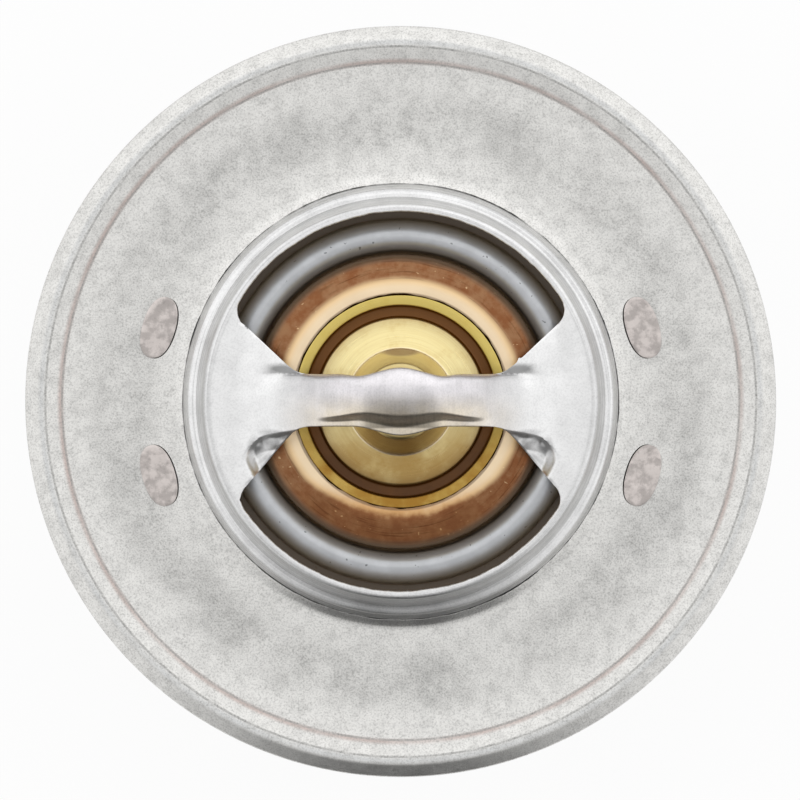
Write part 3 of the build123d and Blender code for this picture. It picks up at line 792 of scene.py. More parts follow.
def turned_brass(base, sizes):
    """Free-cutting brass, turned on a lathe.

    The eye gets a warm yellow with fine tool lines round the axis and a few brown flecks, an
    olive ring under the crimp, a pale painted highlight round the neck's foot, a painted dark
    reflection at the neck's northern foot, dark brown painted shade in the groove and browner
    painted shade towards the south.
    """
    material, where = start_material("turned_brass")
    tree = where.tree
    lines, radius = polar(where, 9 * MM, 0.07 * MM)
    tool = grain(lines, 1.0, 3, 0.6)
    stain = grain(where, 1.3 * MM, 5, 0.65)
    olive = span(radius, sizes.guide_ring - 0.1 * MM, sizes.guide_ring + 0.1 * MM)
    on_neck = span(radius, sizes.guide_neck - 0.05 * MM, sizes.guide_neck + 0.05 * MM, 1, 0)
    # Painted shade: the brass turns darker and browner towards the south, where the strap's shadow falls.
    brass_south_shade = south_shade(where, 0.4 * MM, -4.8 * MM)
    worked = base
    for share, tint in (
        (span(tool, 0.35, 0.6, 0.12, 0) + span(stain, 0.48, 0.75, 0, 0.3), "#C29A48"),
        (olive * 0.72, "#D4BA52"),
        (brass_south_shade * span(olive, 0, 1, 0.8, 1), "#9C7433"),
        (on_neck * 0.5, "#A08A55"),
        # A pale line round the neck's foot: a painted highlight.
        (span(abs(radius - sizes.guide_neck), 0.04 * MM, 0.14 * MM, 0.6, 0), "#EFE3CF"),
    ):
        worked = blend(share, worked, linear(tint))
    # Painted dark reflection at the neck's northern foot: an oval whose middle lies 9.9 half widths out.
    oval = {0: where, 1: (0, -9.9, 0), 3: (1 / (1.5 * MM), 1 / (0.36 * MM), 0)}
    squeezed = add_node(tree, "ShaderNodeMapping", oval)
    spot = add_node(tree, "ShaderNodeVectorMath", {0: squeezed}, out="Value", operation="LENGTH")
    lens_reflection = span(spot, 0.6, 1.1, 0.9, 0) * on_neck
    # Painted shade: the groove round the boss, where the boss's edge casts its shadow, turns dark brown and
    # less metallic, as does the painted dark reflection at the neck's foot.
    deep = span(where.parts()[2], sizes.head_top - 0.5 * MM, sizes.head_top - 0.22 * MM, 1, 0)
    past_boss = span(radius, sizes.guide_boss - 0.22 * MM, sizes.guide_boss + 0.02 * MM)
    before_ring = span(radius, sizes.guide_ring - 0.02 * MM, sizes.guide_ring + 0.05 * MM, 1, 0)
    painted_shade = lens_reflection.at_least(deep).at_least(past_boss * before_ring)
    painted_shade_brown = blend(brass_south_shade * 0.8, linear("#74470F"), linear("#52300A"))
    rough = span(tool, 0.3, 0.7, 0.38, 0.27)
    heights = ((tool, 4e-6), (stain, 6e-6))
    return end_material(material, blend(painted_shade, worked, painted_shade_brown), rough, 1.0 - painted_shade * 0.55, heights)


def ground_steel(base):
    """Hardened steel rod, ground.

    The eye gets a bright, even grey with very fine lines round it.
    """
    material, where = start_material("ground_steel")
    grind = grain(polar(where, 5 * MM, 0.06 * MM)[0], 1.0)
    seen = blend(span(grind, 0.3, 0.7, 0.2, 0), base, shade(base, 0.6))
    return end_material(material, seen, 0.2, heights=[(grind, 2e-6)])


def soft_filling(name, hex_colour, roughness, size):
    """A moulded or cast filling: one colour, clouded a little, with a fine uneven skin."""
    material, where = start_material(name)
    base = linear(hex_colour)
    cloud = grain(where, size, 4)
    seen = blend(span(cloud, 0.3, 0.7, 0.35, 0), base, shade(base, 0.6))
    return end_material(material, seen, roughness, 0.0, [(cloud, 15e-6)])


def white_paper(base):
    """Seamless white paper under the part.

    The camera, and what metal mirrors, get it near white; the part's shadow still shows.
    """
    material, where = start_material("white_paper")
    tree = where.tree
    fibre = grain(where, 0.6 * MM, 3)
    seen = blend(span(fibre, 0.3, 0.7, 0.03, 0), base, shade(base, 0.9))
    paper = add_node(tree, "ShaderNodeBsdfPrincipled", {"Base Color": seen, "Roughness": 0.9})
    rays = ("Is Camera Ray", "Is Glossy Ray", "Is Transmission Ray")
    camera, glossy, through = add_node(tree, "ShaderNodeLightPath", out=rays)
    share = camera.at_least(glossy).at_least(through) * 0.9
    white = add_node(tree, "ShaderNodeEmission", {"Color": (1, 1, 1), "Strength": 1.0})
    both = add_node(tree, "ShaderNodeMixShader", {0: share, 1: paper, 2: white})
    add_node(tree, "ShaderNodeOutputMaterial", {"Surface": both}, out=())
    return material


# ---------------------------------------------------------------- operators


class PieceOperator:
    """What every operator here shares."""

    bl_options = {"REGISTER", "UNDO"}

    @property
    def settings(self):
        return bpy.context.scene.thermostat

    def tint(self, name):
        """The colour of a finish, as linear RGB."""
        return tuple(getattr(self.settings.finishes, name))


class THERMOSTAT_OT_flange(PieceOperator, bpy.types.Operator):
    """Spin the flange ring, with its ragged bore and the slots for the tabs"""

    bl_idname = "thermostat.flange"
    bl_label = "Flange"

    def execute(self, context):
        size = self.settings.flange
        foot = size.radius - size.foot_inset
        crest = size.radius - size.crest_inset
        turned = size.crest - size.turn_down
        # The bore's upturned lip: distance out from the bore, and share of its height.
        lip = ((0, 1), (0.3 * MM, 0.5), (0.55 * MM, 0.12), (0.8 * MM, 0))
        outline = [(size.bore + out, size.sheet + share * size.burr) for out, share in lip]
        outline += [
            (foot, size.sheet),
            (crest, size.crest),
            (size.radius - 0.95 * MM, size.crest),
            (size.radius - 0.1 * MM, size.crest - 0.72 * MM),
            (size.radius, turned),
            (size.radius - size.sheet, turned),
            (foot + 0.1 * MM, 0),
            (size.bore_under, 0),
        ]
        bends = [b * MM for b in (0.05, 0.1, 0.2, 0.3, 0.12, 0.16, 0.5, 0.2, 0.08, 0.3, 0.5, 0.05)]
        outline = divided(rounded(outline, bends, closed=True), 0.3 * MM, closed=True)
        sunk = (outline[:, 1] < 0.01 * MM) & (outline[:, 0] < size.brim_seat)
        outline[sunk, 1] += size.brim_depth

        def worn(radii, heights, angles):
            at_bore = near(radii, size.bore, 0.3 * MM) * (heights > size.sheet / 2)
            radii = radii + at_bore * 0.04 * MM * ragged(angles, 420, seed=3)
            heights = heights + at_bore * 0.02 * MM * ragged(angles, 300, seed=4)
            hollow = np.clip(1 - ((radii - (foot + size.bore) / 2) / ((foot - size.bore) / 2)) ** 2, 0, 1)
            wave = 1 + 0.15 * ragged(angles, 9, seed=5)
            return radii, heights - (heights > size.sheet / 2) * size.dish * hollow * wave

        ring = spin("flange_ring", outline, 480, shape=worn)
        cutter = slot_cutter(size)
        cut = ring.modifiers.new("slots", "BOOLEAN")
        cut.operation = "DIFFERENCE"
        cut.object = cutter
        cut.solver = "EXACT"
        bake(ring, math.radians(50))
        bpy.data.objects.remove(cutter)
        finish = tumbled_stainless(self.tint("flange"), size)
        place(ring, "frame", "flange_steel", finish, "flange")
        return {"FINISHED"}


def head_outline(size, clearance, count=24):
    """The oval of a staked head about the origin, long side along Y."""
    angles = np.linspace(0, 2 * math.pi, 2 * count, endpoint=False) + math.pi / (2 * count)
    c, s = np.cos(angles), np.sin(angles)
    fullness = 0.88
    x = (size.head_width / 2 + clearance) * np.sign(c) * np.abs(c) ** fullness
    y = (size.head_length / 2 + clearance) * np.sign(s) * np.abs(s) ** fullness
    return np.stack([x, y], axis=-1)


def grown(oval, size, offset):
    """The oval of a head, wider and longer by an offset on each side."""
    return oval * (1 + 2 * offset / np.array([size.head_width, size.head_length]))


def tab_angles(size):
    """Angles at which the four tabs stand."""
    return [size.tab_angle, -size.tab_angle, math.pi - size.tab_angle, math.pi + size.tab_angle]


def slot_cutter(size):
    """Four tapered ovals that cut the tabs' slots through the flange."""
    vertices, faces = [], []
    oval = head_outline(size, size.head_gap)
    count = len(oval)
    for angle in tab_angles(size):
        c, s = math.cos(angle), math.sin(angle)
        start = len(vertices)
        for height, inset in ((-1 * MM, 0.4 * MM), (0, 0.4 * MM), (size.sheet + 0.4 * MM, -0.12 * MM)):
            for x, y in grown(oval, size, -inset):
                x += size.tab_circle - 0.07 * MM
                vertices.append((c * x - s * y, s * x + c * y, height))
        faces += grid_faces(3, count, wrap_columns=True, start=start)
        faces.append(tuple(range(start, start + count)))
        faces.append(tuple(range(start + 2 * count, start + 3 * count)))
    return new_object("slot_cutter", vertices, faces)


def geometry_tree(name, **sizes):
    """An empty Geometry Nodes tree, and its named inputs: its sizes and its material."""
    tree = bpy.data.node_groups.new(name, "GeometryNodeTree")
    kinds = {"Geometry": "Geometry", **sizes, "Material": "Material"}
    for label, kind in kinds.items():
        tree.interface.new_socket(label, in_out="INPUT", socket_type="NodeSocket" + kind)
    tree.interface.new_socket("Geometry", in_out="OUTPUT", socket_type="NodeSocketGeometry")
    return tree, dict(zip(kinds, add_node(tree, "NodeGroupInput", out=tuple(kinds))))


def end_tree(tree, given, geometry):
    """End a tree in Realize Instances and Set Material."""
    real = add_node(tree, "GeometryNodeRealizeInstances", {0: geometry})
    done = add_node(tree, "GeometryNodeSetMaterial", {0: real, "Material": given["Material"]})
    add_node(tree, "NodeGroupOutput", {0: done}, out=())
    return tree


def on_circle(radius, angle, height=0.0):
    """A place on a circle about the axis."""
    inputs = {0: radius * angle.math("COSINE"), 1: radius * angle.math("SINE"), 2: height}
    return add_node(angle.tree, "ShaderNodeCombineXYZ", inputs)


def run_tree(obj, tree, values):
    """Put the tree on an object with these inputs, by socket identifier, and bake it."""
    modifier = obj.modifiers.new(tree.name, "NODES")
    modifier.node_group = tree
    for item in tree.interface.items_tree:
        if item.item_type == "SOCKET" and item.in_out == "INPUT" and item.name in values:
            modifier[item.identifier] = values[item.name]
    return bake(obj, math.radians(40))


def heads_tree():
    """Stands a copy of the head at each tab and roughens each one differently."""
    tree, given = geometry_tree("staked_heads", Circle="Float", Angle="Float", Dents="Float", Seed="Int")
    index = add_node(tree, "GeometryNodeInputIndex")
    north_or_south = 1.0 - index.math("MODULO", 2.0) * 2.0
    west = index.math("GREATER_THAN", 1.5)
    angle = given["Angle"] * north_or_south + west * math.pi
    spots = {"Count": 4, "Position": on_circle(given["Circle"], angle)}
    points = add_node(tree, "GeometryNodePoints", spots)
    turn = add_node(tree, "ShaderNodeCombineXYZ", {2: angle})
    inputs = {"Points": points, "Instance": given["Geometry"], "Rotation": turn}
    heads = add_node(tree, "GeometryNodeInstanceOnPoints", inputs)
    real = add_node(tree, "GeometryNodeRealizeInstances", {0: heads})
    where = add_node(tree, "GeometryNodeInputPosition")
    inputs = {"Vector": where, "W": given["Seed"], "Scale": 1 / (1.3 * MM), "Detail": 2.0}
    rough = add_node(tree, "ShaderNodeTexNoise", inputs, noise_dimensions="4D")
    on_top = where.parts()[2].math("GREATER_THAN", 0.86 * MM)
    down = add_node(tree, "ShaderNodeCombineXYZ", {2: (rough - 0.55) * given["Dents"] * on_top})
    moved = add_node(tree, "GeometryNodeSetPosition", {"Geometry": real, "Offset": down})
    return end_tree(tree, given, moved)


class THERMOSTAT_OT_heads(PieceOperator, bpy.types.Operator):
    """Stake the four oval tab heads into the flange"""

    bl_idname = "thermostat.heads"
    bl_label = "Staked Heads"

    def execute(self, context):
        size = self.settings.flange
        oval = head_outline(size, 0)
        top = size.sheet + 0.015 * MM
        rows = [(size.brim_depth, -0.4), (size.sheet - 0.1 * MM, -0.06), (size.sheet - 0.04 * MM, -0.02)]
        rows += [(top - 0.02 * MM, -0.03), (top, -0.1)]
        rows += [(top, -inset) for inset in np.linspace(0.25, 1.15, 7)]
        vertices = []
        for height, inset in rows:
            vertices += [(x, y, height) for x, y in grown(oval, size, inset * MM)]
        faces = grid_faces(len(rows), len(oval), wrap_columns=True)
        faces.append(tuple(range(len(oval))))
        faces.append(tuple(range((len(rows) - 1) * len(oval), len(rows) * len(oval))))
        heads = new_object("staked_heads", vertices, faces)
        finish = pressed_steel("staked_steel", self.tint("staked"), 0.5)
        values = {
            "Circle": size.tab_circle,
            "Angle": size.tab_angle,
            "Dents": 0.14 * MM,
            "Seed": 7,
            "Material": finish,
        }
        run_tree(heads, heads_tree(), values)
        place(heads, "frame", "frame_steel", finish, "lower_frame")
        return {"FINISHED"}


class BridgeForm:
    """The bridge's sheet as a height over the plane, and the outline of its windows.

    A side is 1 for north and -1 for south.
    """

    def __init__(self, size):
        self.size = size
        run = size.root_reach - size.fan_reach
        self.slopes = {1: (size.fan_north - size.waist) / run, -1: (size.fan_south - size.waist) / run}
        self.corners = {side: self.find_corner(side) for side in (1, -1)}

    def straight(self, x, side):
        """Half width of the strap without its fan."""
        size = self.size
        swell = (size.seat - size.waist) * (1 - ease(np.abs(x) / size.seat_reach))
        wider = size.wider * ease((np.abs(x) - 2.6 * MM) / (1.8 * MM)) if side > 0 else 0
        return size.waist + swell + wider

    def half_width(self, x, side):
        """Distance from the middle line to the strap's edge."""
        bend = 0.3 * MM
        over = np.abs(x) - self.size.fan_reach
        fan = bend * np.log1p(np.exp(np.clip(over / bend, -30, 30)))
        return self.straight(x, side) + self.slopes[side] * fan

    def spaced(self, x, across):
        """Places from -1 at the strap's southern edge to 1 at its northern one, as y."""
        return np.where(across > 0, self.half_width(x, 1), self.half_width(x, -1)) * across

    def crown(self, x):
        """Height of the arch's middle line, and how much longer it is there than its plan."""
        size = self.size
        span_x = size.root_reach - size.crown_flat
        rise = size.crown - size.land_height
        steps = np.linspace(-0.9, 0.9, 9) * MM
        along = np.clip((np.abs(x)[..., None] + steps - size.crown_flat) / span_x, 0, 1)
        slope = (rise / span_x * 6 * along * (1 - along)).mean(axis=-1)
        return size.crown - rise * ease(along).mean(axis=-1), np.sqrt(1 + slope * slope)

    def height(self, x, y):
        """Height of the strap's face at points of the plane."""
        size = self.size
        crown, stretch = self.crown(x)
        out = np.abs(x)
        half = np.where(y > 0, self.straight(x, 1), self.straight(x, -1))
        pip = size.bump_rise * ease(1 - np.hypot(x, y) / size.bump)
        drop = np.where(y > 0, self.north(out, y, half), self.south(out, -y, half))
        flank = ease((out - 3 * MM) / (3 * MM)) * (1 - ease((out - 7.5 * MM) / (2.5 * MM)))
        bow = (0.06 + 0.07 * flank) * MM * np.clip(y / half, -1, 1) ** 2
        return crown + pip - self.leaning(out, y) - stretch * (bow + drop)

    def leaning(self, out, y):
        """Fall of the crown from its ridge southwards, which runs out along the arch."""
        size = self.size
        past = np.clip(size.ridge - y, 0, size.ridge + 1.9 * MM)
        fall = np.where(past < size.ridge, past**2 / (2 * size.ridge), past - size.ridge / 2)
        return math.tan(size.lean) * fall * (1 - ease((out - 1.6 * MM) / (5.2 * MM)))

    def north(self, out, across, half):
        """Fall of the rounded northern side, and the crease it ends in at the root."""
        size = self.size
        start = 0.5 + 0.22 * ease((out - 1.5 * MM) / (3 * MM))
        into = np.clip((across / half - start) / (1 - start), 0, 1)
        fades = 1 - ease((out - 5.5 * MM) / (4.5 * MM))
        side = size.north_fall * fades * (1 - np.sqrt(1 - 0.96 * into * into))
        at = 1.68 * MM + 0.1 * (out - 8.0 * MM)
        lasts = ease((out - 5.9 * MM) / (1.2 * MM)) * (1 - ease((out - 8.4 * MM) / (2.3 * MM)))
        crease = ease((across - at + 1.7 * MM) / (1.7 * MM)) * (1 - ease((across - at) / (0.95 * MM)))
        return side + size.valley * lasts * crease

    def south(self, out, across, half):
        """Fall to the southern lip, and the crumpled pocket beyond the strap's side at the root."""
        size = self.size
        narrows = ease((out - 2.2 * MM) / (3.3 * MM))
        shoulder = half * (0.36 + 0.19 * narrows)
        foot = half * (0.8 + 0.06 * narrows)
        fades = 1 - ease((out - 3.1 * MM) / (3.6 * MM))
        down = np.clip((across - shoulder) / (foot - shoulder), 0, 1)
        wall = down**3 * (10 - 15 * down + 6 * down**2)
        step = size.depth * fades * (wall + 0.04 * np.clip((across - foot) / size.lip, 0, 1))
        turn = np.clip(out - 9.4 * MM, 0, None) / MM
        brow = 1.92 * MM + 0.17 * (out - 7.6 * MM) + 0.36 * MM * turn**2
        past = np.clip(across - brow, 0, None)
        inside = size.pocket * ease(past / (0.45 * MM)) + 0.6 * np.clip(past - 0.2 * MM, 0, 1.1 * MM)
        begins = ease((out - 6.8 * MM) / (0.9 * MM))
        ends = 1 - ease((np.hypot(out, across) - 11.0 * MM) / (1.1 * MM))
        # Radians per metre, along the strap and across it, which makes folds 1.6 to 2.7 mm long.
        fold = np.sin(out * 3.9e3 + 1.2 * np.sin(across * 2.3e3)) * np.sin(across * 2.6e3 + 0.7)
        fold *= size.crumple * ease(past / (0.5 * MM))
        return step + (inside + fold) * begins * ends

    def roll(self, inset):
        """Fall of a sheared edge, by the distance in from it."""
        radius = self.size.roll
        into = np.clip(1 - inset / radius, 0, 1)
        return radius * (1 - np.sqrt(1 - into * into * 0.96))

    def find_corner(self, side):
        """One side's window corner as a run of points, mirrored to the north-east."""
        size = self.size
        way = unit(np.array([1.0, self.slopes[side]]))
        normal = np.array([-way[1], way[0]])
        base = np.array([size.fan_reach, size.waist]) + normal * size.window_corner
        reach = size.window - size.window_corner
        b = float(base @ way)
        centre = base + way * (-b + math.sqrt(b * b - float(base @ base) + reach * reach))
        turns = np.linspace(math.atan2(-normal[1], -normal[0]), math.atan2(centre[1], centre[0]), 15)
        return centre + size.window_corner * np.stack([np.cos(turns), np.sin(turns)], axis=-1)

    def edge_path(self, side, shares):
        """Plane points along the fan's edge, from the strap to the window's corner."""
        start, end = self.size.fan_reach, self.corners[side][0]
        x = start + (end[0] - start) * shares
        end_miss = end[1] - self.half_width(end[0], side)
        return np.stack([x, self.half_width(x, side) + end_miss * shares], axis=-1)

    def root_edge(self, across):
        """Angles and radii of the line where a root ends and the ring begins."""
        north, south = (self.corners[side][0] for side in (1, -1))
        share = (across + 1) / 2
        near_end, far_end = np.hypot(*south), np.hypot(*north)
        low, high = math.atan2(south[1], south[0]), math.atan2(north[1], north[0])
        return -low + (high + low) * share, near_end + (far_end - near_end) * share

    def window_run(self, side, columns):
        """Angles and radii along a window's edge, from one corner to the other."""
        corner = self.corners[side][1:]
        angles = np.arctan2(corner[:, 1], corner[:, 0])
        radii = np.hypot(corner[:, 0], corner[:, 1])
        middle = np.linspace(angles[-1], math.pi - angles[-1], columns + 1)[1:-1]
        turned = np.concatenate([angles, middle, math.pi - angles[::-1]])
        return turned, np.concatenate([radii, 0 * middle + self.size.window, radii[::-1]])

    def window_edge(self, side):
        """The edge of a quarter of a window, from the strap's middle round to the collar."""
        x = np.linspace(0, self.size.fan_reach, 60)
        strap = np.stack([x, self.half_width(x, side)], axis=-1)
        fan = self.edge_path(side, np.linspace(0, 1, 40))
        corner = self.corners[side]
        arc = np.linspace(math.atan2(corner[-1][1], corner[-1][0]), math.pi / 2, 90)[1:]
        circle = self.size.window * np.stack([np.cos(arc), np.sin(arc)], axis=-1)
        return np.vstack([strap, fan[1:], corner[1:], circle])


class THERMOSTAT_OT_bridge(PieceOperator, bpy.types.Operator):
    """Form the bridge: stepped collar, two windows and the arched strap between them"""

    bl_idname = "thermostat.bridge"
    bl_label = "Bridge"

    columns = 84
    strap_rows = 100
    root_rows = 56
    window_columns = 206
    # Small tears in the windows' edges: place, push and reach, in millimetres.
    nicks = (
        (-11.45, 5.55, -0.22, 0.05, 0.16),
        (-11.2, 5.15, 0.16, 0.14, 0.12),
        (-11.35, -6.95, -0.12, -0.16, 0.14),
        (8.5, 2.95, -0.06, 0.16, 0.13),
    )

    def execute(self, context):
        form = BridgeForm(self.settings.bridge)
        # Places across the strap from -1 to 1, closer together at its edges.
        across = np.linspace(-1, 1, self.columns + 1)
        across = across + 0.12 * np.sin(math.pi * across) / math.pi
        grids = [self.strap_points(form, across)]
        grids += [self.root_points(form, across, mirror) for mirror in (1, -1)]
        ring = self.ring_points(form, across)
        bridge = new_object("bridge", *joined_grids([(grid, False) for grid in grids] + [(ring, True)]))
        face_up(bridge)
        upper = len(bridge.data.vertices)
        thicken(bridge, form.size.sheet)
        bake(bridge)
        self.shear(bridge, upper, form)
        bridge.data.set_sharp_from_angle(angle=math.radians(42))
        finish = drawn_stainless(self.tint("bridge"))
        place(bridge, "frame", "bridge_steel", finish, "upper_bridge")
        return {"FINISHED"}

    def strap_points(self, form, across):
        reach = form.size.fan_reach
        x = np.linspace(-reach, reach, self.strap_rows + 1)[:, None] + 0 * across
        y = form.spaced(x, across)
        return np.stack([x, y, form.height(x, y)], axis=-1)

    def root_points(self, form, across, mirror):
        """A root: its rows turn from the strap's straight ones into arcs about the axis."""
        reach = form.size.fan_reach
        shares = np.linspace(0, 1, self.root_rows + 1)
        north = form.edge_path(1, shares)[:, None, :]
        south = form.edge_path(-1, shares)[:, None, :] * np.array([1, -1])
        near_row = np.stack([0 * across + reach, form.spaced(reach, across)], axis=-1)
        angles, radii = form.root_edge(across)
        far_row = np.stack([radii * np.cos(angles), radii * np.sin(angles)], axis=-1)
        s = shares[:, None, None]
        t = ((across + 1) / 2)[None, :, None]
        ends = (1 - s) * ((1 - t) * near_row[0] + t * near_row[-1])
        ends = ends + s * ((1 - t) * far_row[0] + t * far_row[-1])
        plane = (1 - s) * near_row + s * far_row + (1 - t) * south + t * north - ends
        x, y = plane[..., 0] * mirror, plane[..., 1]
        z = form.height(x, y)
        z = z + (form.size.land_height - z) * ease((shares - 0.75) / 0.25)[:, None]
        return np.stack([x, y, z], axis=-1)

    def ring_points(self, form, across):
        """The ring outside the roots and windows, out over the collar and under the flange."""
        size = form.size
        east, east_radii = form.root_edge(across)
        north, north_radii = form.window_run(1, self.window_columns)
        south, south_radii = form.window_run(-1, self.window_columns)
        angles = np.concatenate([east, north, math.pi - east[::-1], 2 * math.pi - south[::-1]])
        radii = np.concatenate([east_radii, north_radii, east_radii[::-1], south_radii[::-1]])
        collar = [
            (size.window + 0.22 * MM, size.land_height),
            (size.land, size.land_height),
            (size.step_inner, size.step_inner_height),
            (size.step_outer, size.step_outer_height),
            (size.collar_base, size.brim_height),
        ]
        run = divided(rounded(collar, [0, 0.3 * MM, 0.2 * MM, 0.3 * MM, 0]), 0.27 * MM)
        run = np.vstack([run, (size.brim, size.brim_height)])
        shares = np.concatenate([np.linspace(0, 0.36, 6), np.linspace(0.36, 1, 5)[1:-1]])[:, None]
        inner = radii + shares * (run[0][0] - radii)
        r = np.concatenate([inner, run[:, :1] + 0 * radii])
        z = np.concatenate([0 * inner + size.land_height, run[:, 1:] + 0 * radii])
        return np.stack([r * np.cos(angles), r * np.sin(angles), z], axis=-1)

    def shear(self, bridge, upper, form):
        """Roll the sheared edges of the upper face over, and leave them a little torn."""
        size = form.size
        spots = np.empty(len(bridge.data.vertices) * 3)
        bridge.data.vertices.foreach_get("co", spots)
        spots = spots.reshape(-1, 3)
        under = np.arange(len(spots)) >= upper
        angles = np.arctan2(spots[:, 1], spots[:, 0])
        rim = from_axis(spots) < size.window + 1 * MM
        inset = np.full(len(spots), 1.0)
        for side in (1, -1):
            here = rim & (spots[:, 1] * side >= 0)
            inset[here] = distance_to_run(np.abs(spots[here, :2]), form.window_edge(side))
        # The lower face hangs straight under the upper one, so that the cut edge is upright.
        low = np.nonzero(under & rim)[0]
        low = low[from_axis(spots[low - upper]) < size.window + 0.1 * MM]
        above = low - upper
        spots[low] = spots[above]
        stretch = form.crown(spots[above, 0])[1] - 1
        on_arch = 1 - ease((from_axis(spots[above]) - 11.4 * MM) / (1 * MM))
        spots[low, 2] -= size.sheet * (1 + stretch * on_arch)
        inset[low] = inset[above]
        # The collar wall's inner face stays behind the window's edge.
        reach = from_axis(spots)
        behind = size.window + 0.07 * MM
        wall = under & (reach < behind)
        wall[upper:] &= reach[:upper] > size.land - 0.3 * MM
        spots[wall, :2] *= (behind / reach[wall])[:, None]
        reach = from_axis(spots)
        torn = near(inset, 0, 0.25 * MM) * (reach > size.fan_reach) * 0.035 * MM
        out = spots[:, :2] / np.maximum(reach, 1e-9)[:, None]
        spots[:, :2] += out * (torn * ragged(angles, 520, seed=11))[:, None]
        spots[:, 2] -= ~under * form.roll(inset) * (1 + 0.2 * ragged(angles, 200, seed=12))
        for x, y, push_x, push_y, width in self.nicks:
            pull = near(from_axis(spots - np.array([x, y, 0]) * MM), 0, width * MM)
            spots[:, :2] += pull[:, None] * np.array([push_x, push_y]) * MM
        bridge.data.vertices.foreach_set("co", spots.ravel())
        bridge.data.update()


class THERMOSTAT_OT_valve(PieceOperator, bpy.types.Operator):
    """Spin the valve disc, the copper wax cup, the brass guide and the piston"""

    bl_idname = "thermostat.valve"
    bl_label = "Valve"

    def execute(self, context):
        size = self.settings.valve
        steel = rolled_steel(self.tint("disc"), size)
        copper = drawn_copper(self.tint("copper"), size)
        brass = turned_brass(self.tint("brass"), size)
        place(self.disc(size), "valve", "disc_steel", steel, "valve_disc")
        place(self.cup(size), "valve", "cup_copper", copper, "wax_cup")
        place(self.guide(size), "valve", "guide_brass", brass, "piston_guide")
        place(self.piston(size), "frame", "piston_steel", ground_steel(self.tint("piston")), "piston")
        return {"FINISHED"}

    def disc(self, size):
        crest = size.rim_top + size.bead_height
        face = [
            (size.cup + 0.2 * MM, size.web_top),
            (size.bead_inner, size.web_top),
            (size.bead_inner + 0.33 * MM, crest),
            (size.bead_outer - 0.3 * MM, crest),
            (size.bead_outer, size.rim_top),
            (size.disc, size.rim_top),
        ]
        bends = [0.9 * MM, 0.2 * MM, 0.35 * MM, 0.15 * MM]
        outline = divided(sheet_outline(face, bends, size.sheet, 0.06 * MM), 0.4 * MM, closed=True)
        return spin("valve_plate", outline, 256)

    def cup(self, size):
        shell = [
            (0, size.cup_bottom),
            (size.cup, size.cup_bottom),
            (size.cup, size.web_top),
            (size.head, size.web_top),
            (size.head, size.head_top - 0.5 * MM),
            (size.lip + 0.85 * MM, size.head_top),
            (size.lip, size.head_top),
        ]
        inner = mitred(shell, -size.sheet)
        bends = [0, 1.6 * MM, 0.15 * MM, 0.9 * MM, 0.75 * MM, 2.4 * MM, 0.06 * MM]
        inner_bends = [0.06 * MM, 1.6 * MM, 0.1 * MM, 0.1 * MM, 0.5 * MM, 0.8 * MM, 0]
        outline = rounded([*shell, *reversed(inner)], [*bends, *inner_bends])
        outline = divided(outline, 0.5 * MM)

        def crimped(radii, heights, angles):
            at_lip = near(radii, size.lip, 0.35 * MM) * (heights > size.head_top - size.sheet)
            wavy = 0.05 * ragged(angles, 60, seed=21) - 0.085 + 0.035 * np.sin(angles)
            radii = radii + at_lip * wavy * MM
            on_head = (heights > size.web_top + 0.5 * MM) * ease((radii - size.lip) / (0.5 * MM))
            return radii, heights + 0.025 * MM * on_head * ragged(angles, 24, seed=22)

        return spin("copper_cup", outline, 320, closed=False, shape=crimped)

    def guide(self, size):
        crimp_top = size.head_top - size.sheet
        under = crimp_top - 1.0 * MM
        boss_top = size.head_top - 0.1 * MM
        groove = boss_top - 0.95 * MM
        ring = size.lip - 0.14 * MM
        flange = size.head - size.sheet - 0.05 * MM
        bore = size.piston + 0.05 * MM
        outline = [
            (bore, under),
            (flange, under),
            (flange, crimp_top),
            (ring, crimp_top),
            (ring, size.head_top - 0.03 * MM),
            (size.guide_ring, size.head_top - 0.1 * MM),
            (size.guide_ring, groove),
            (size.guide_boss, groove),
            (size.guide_boss, boss_top - 0.25 * MM),
            (size.guide_neck, boss_top),
            (size.guide_neck_top, size.guide_top),
            (bore, size.guide_top),
        ]
        bends = [b * MM for b in (0.1, 0.1, 0.84, 0, 0.05, 0.1, 0.2, 0.2, 0.24, 0.2, 0.4, 0.25)]
        outline = divided(rounded(outline, bends, closed=True), 0.4 * MM, closed=True)
        return spin("brass_guide", outline, 256)

    def piston(self, size):
        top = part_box("piston")[1].z
        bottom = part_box("piston")[0].z
        outline = [
            (0, bottom),
            (size.piston, bottom),
            (size.piston, top - 1.9 * MM),
            (0.75 * MM, top),
            (0, top),
        ]
        run = rounded(outline, [b * MM for b in (0, 0.8, 0.6, 0.3, 0)])
        return spin("piston_rod", divided(run, 0.8 * MM), 96, closed=False)


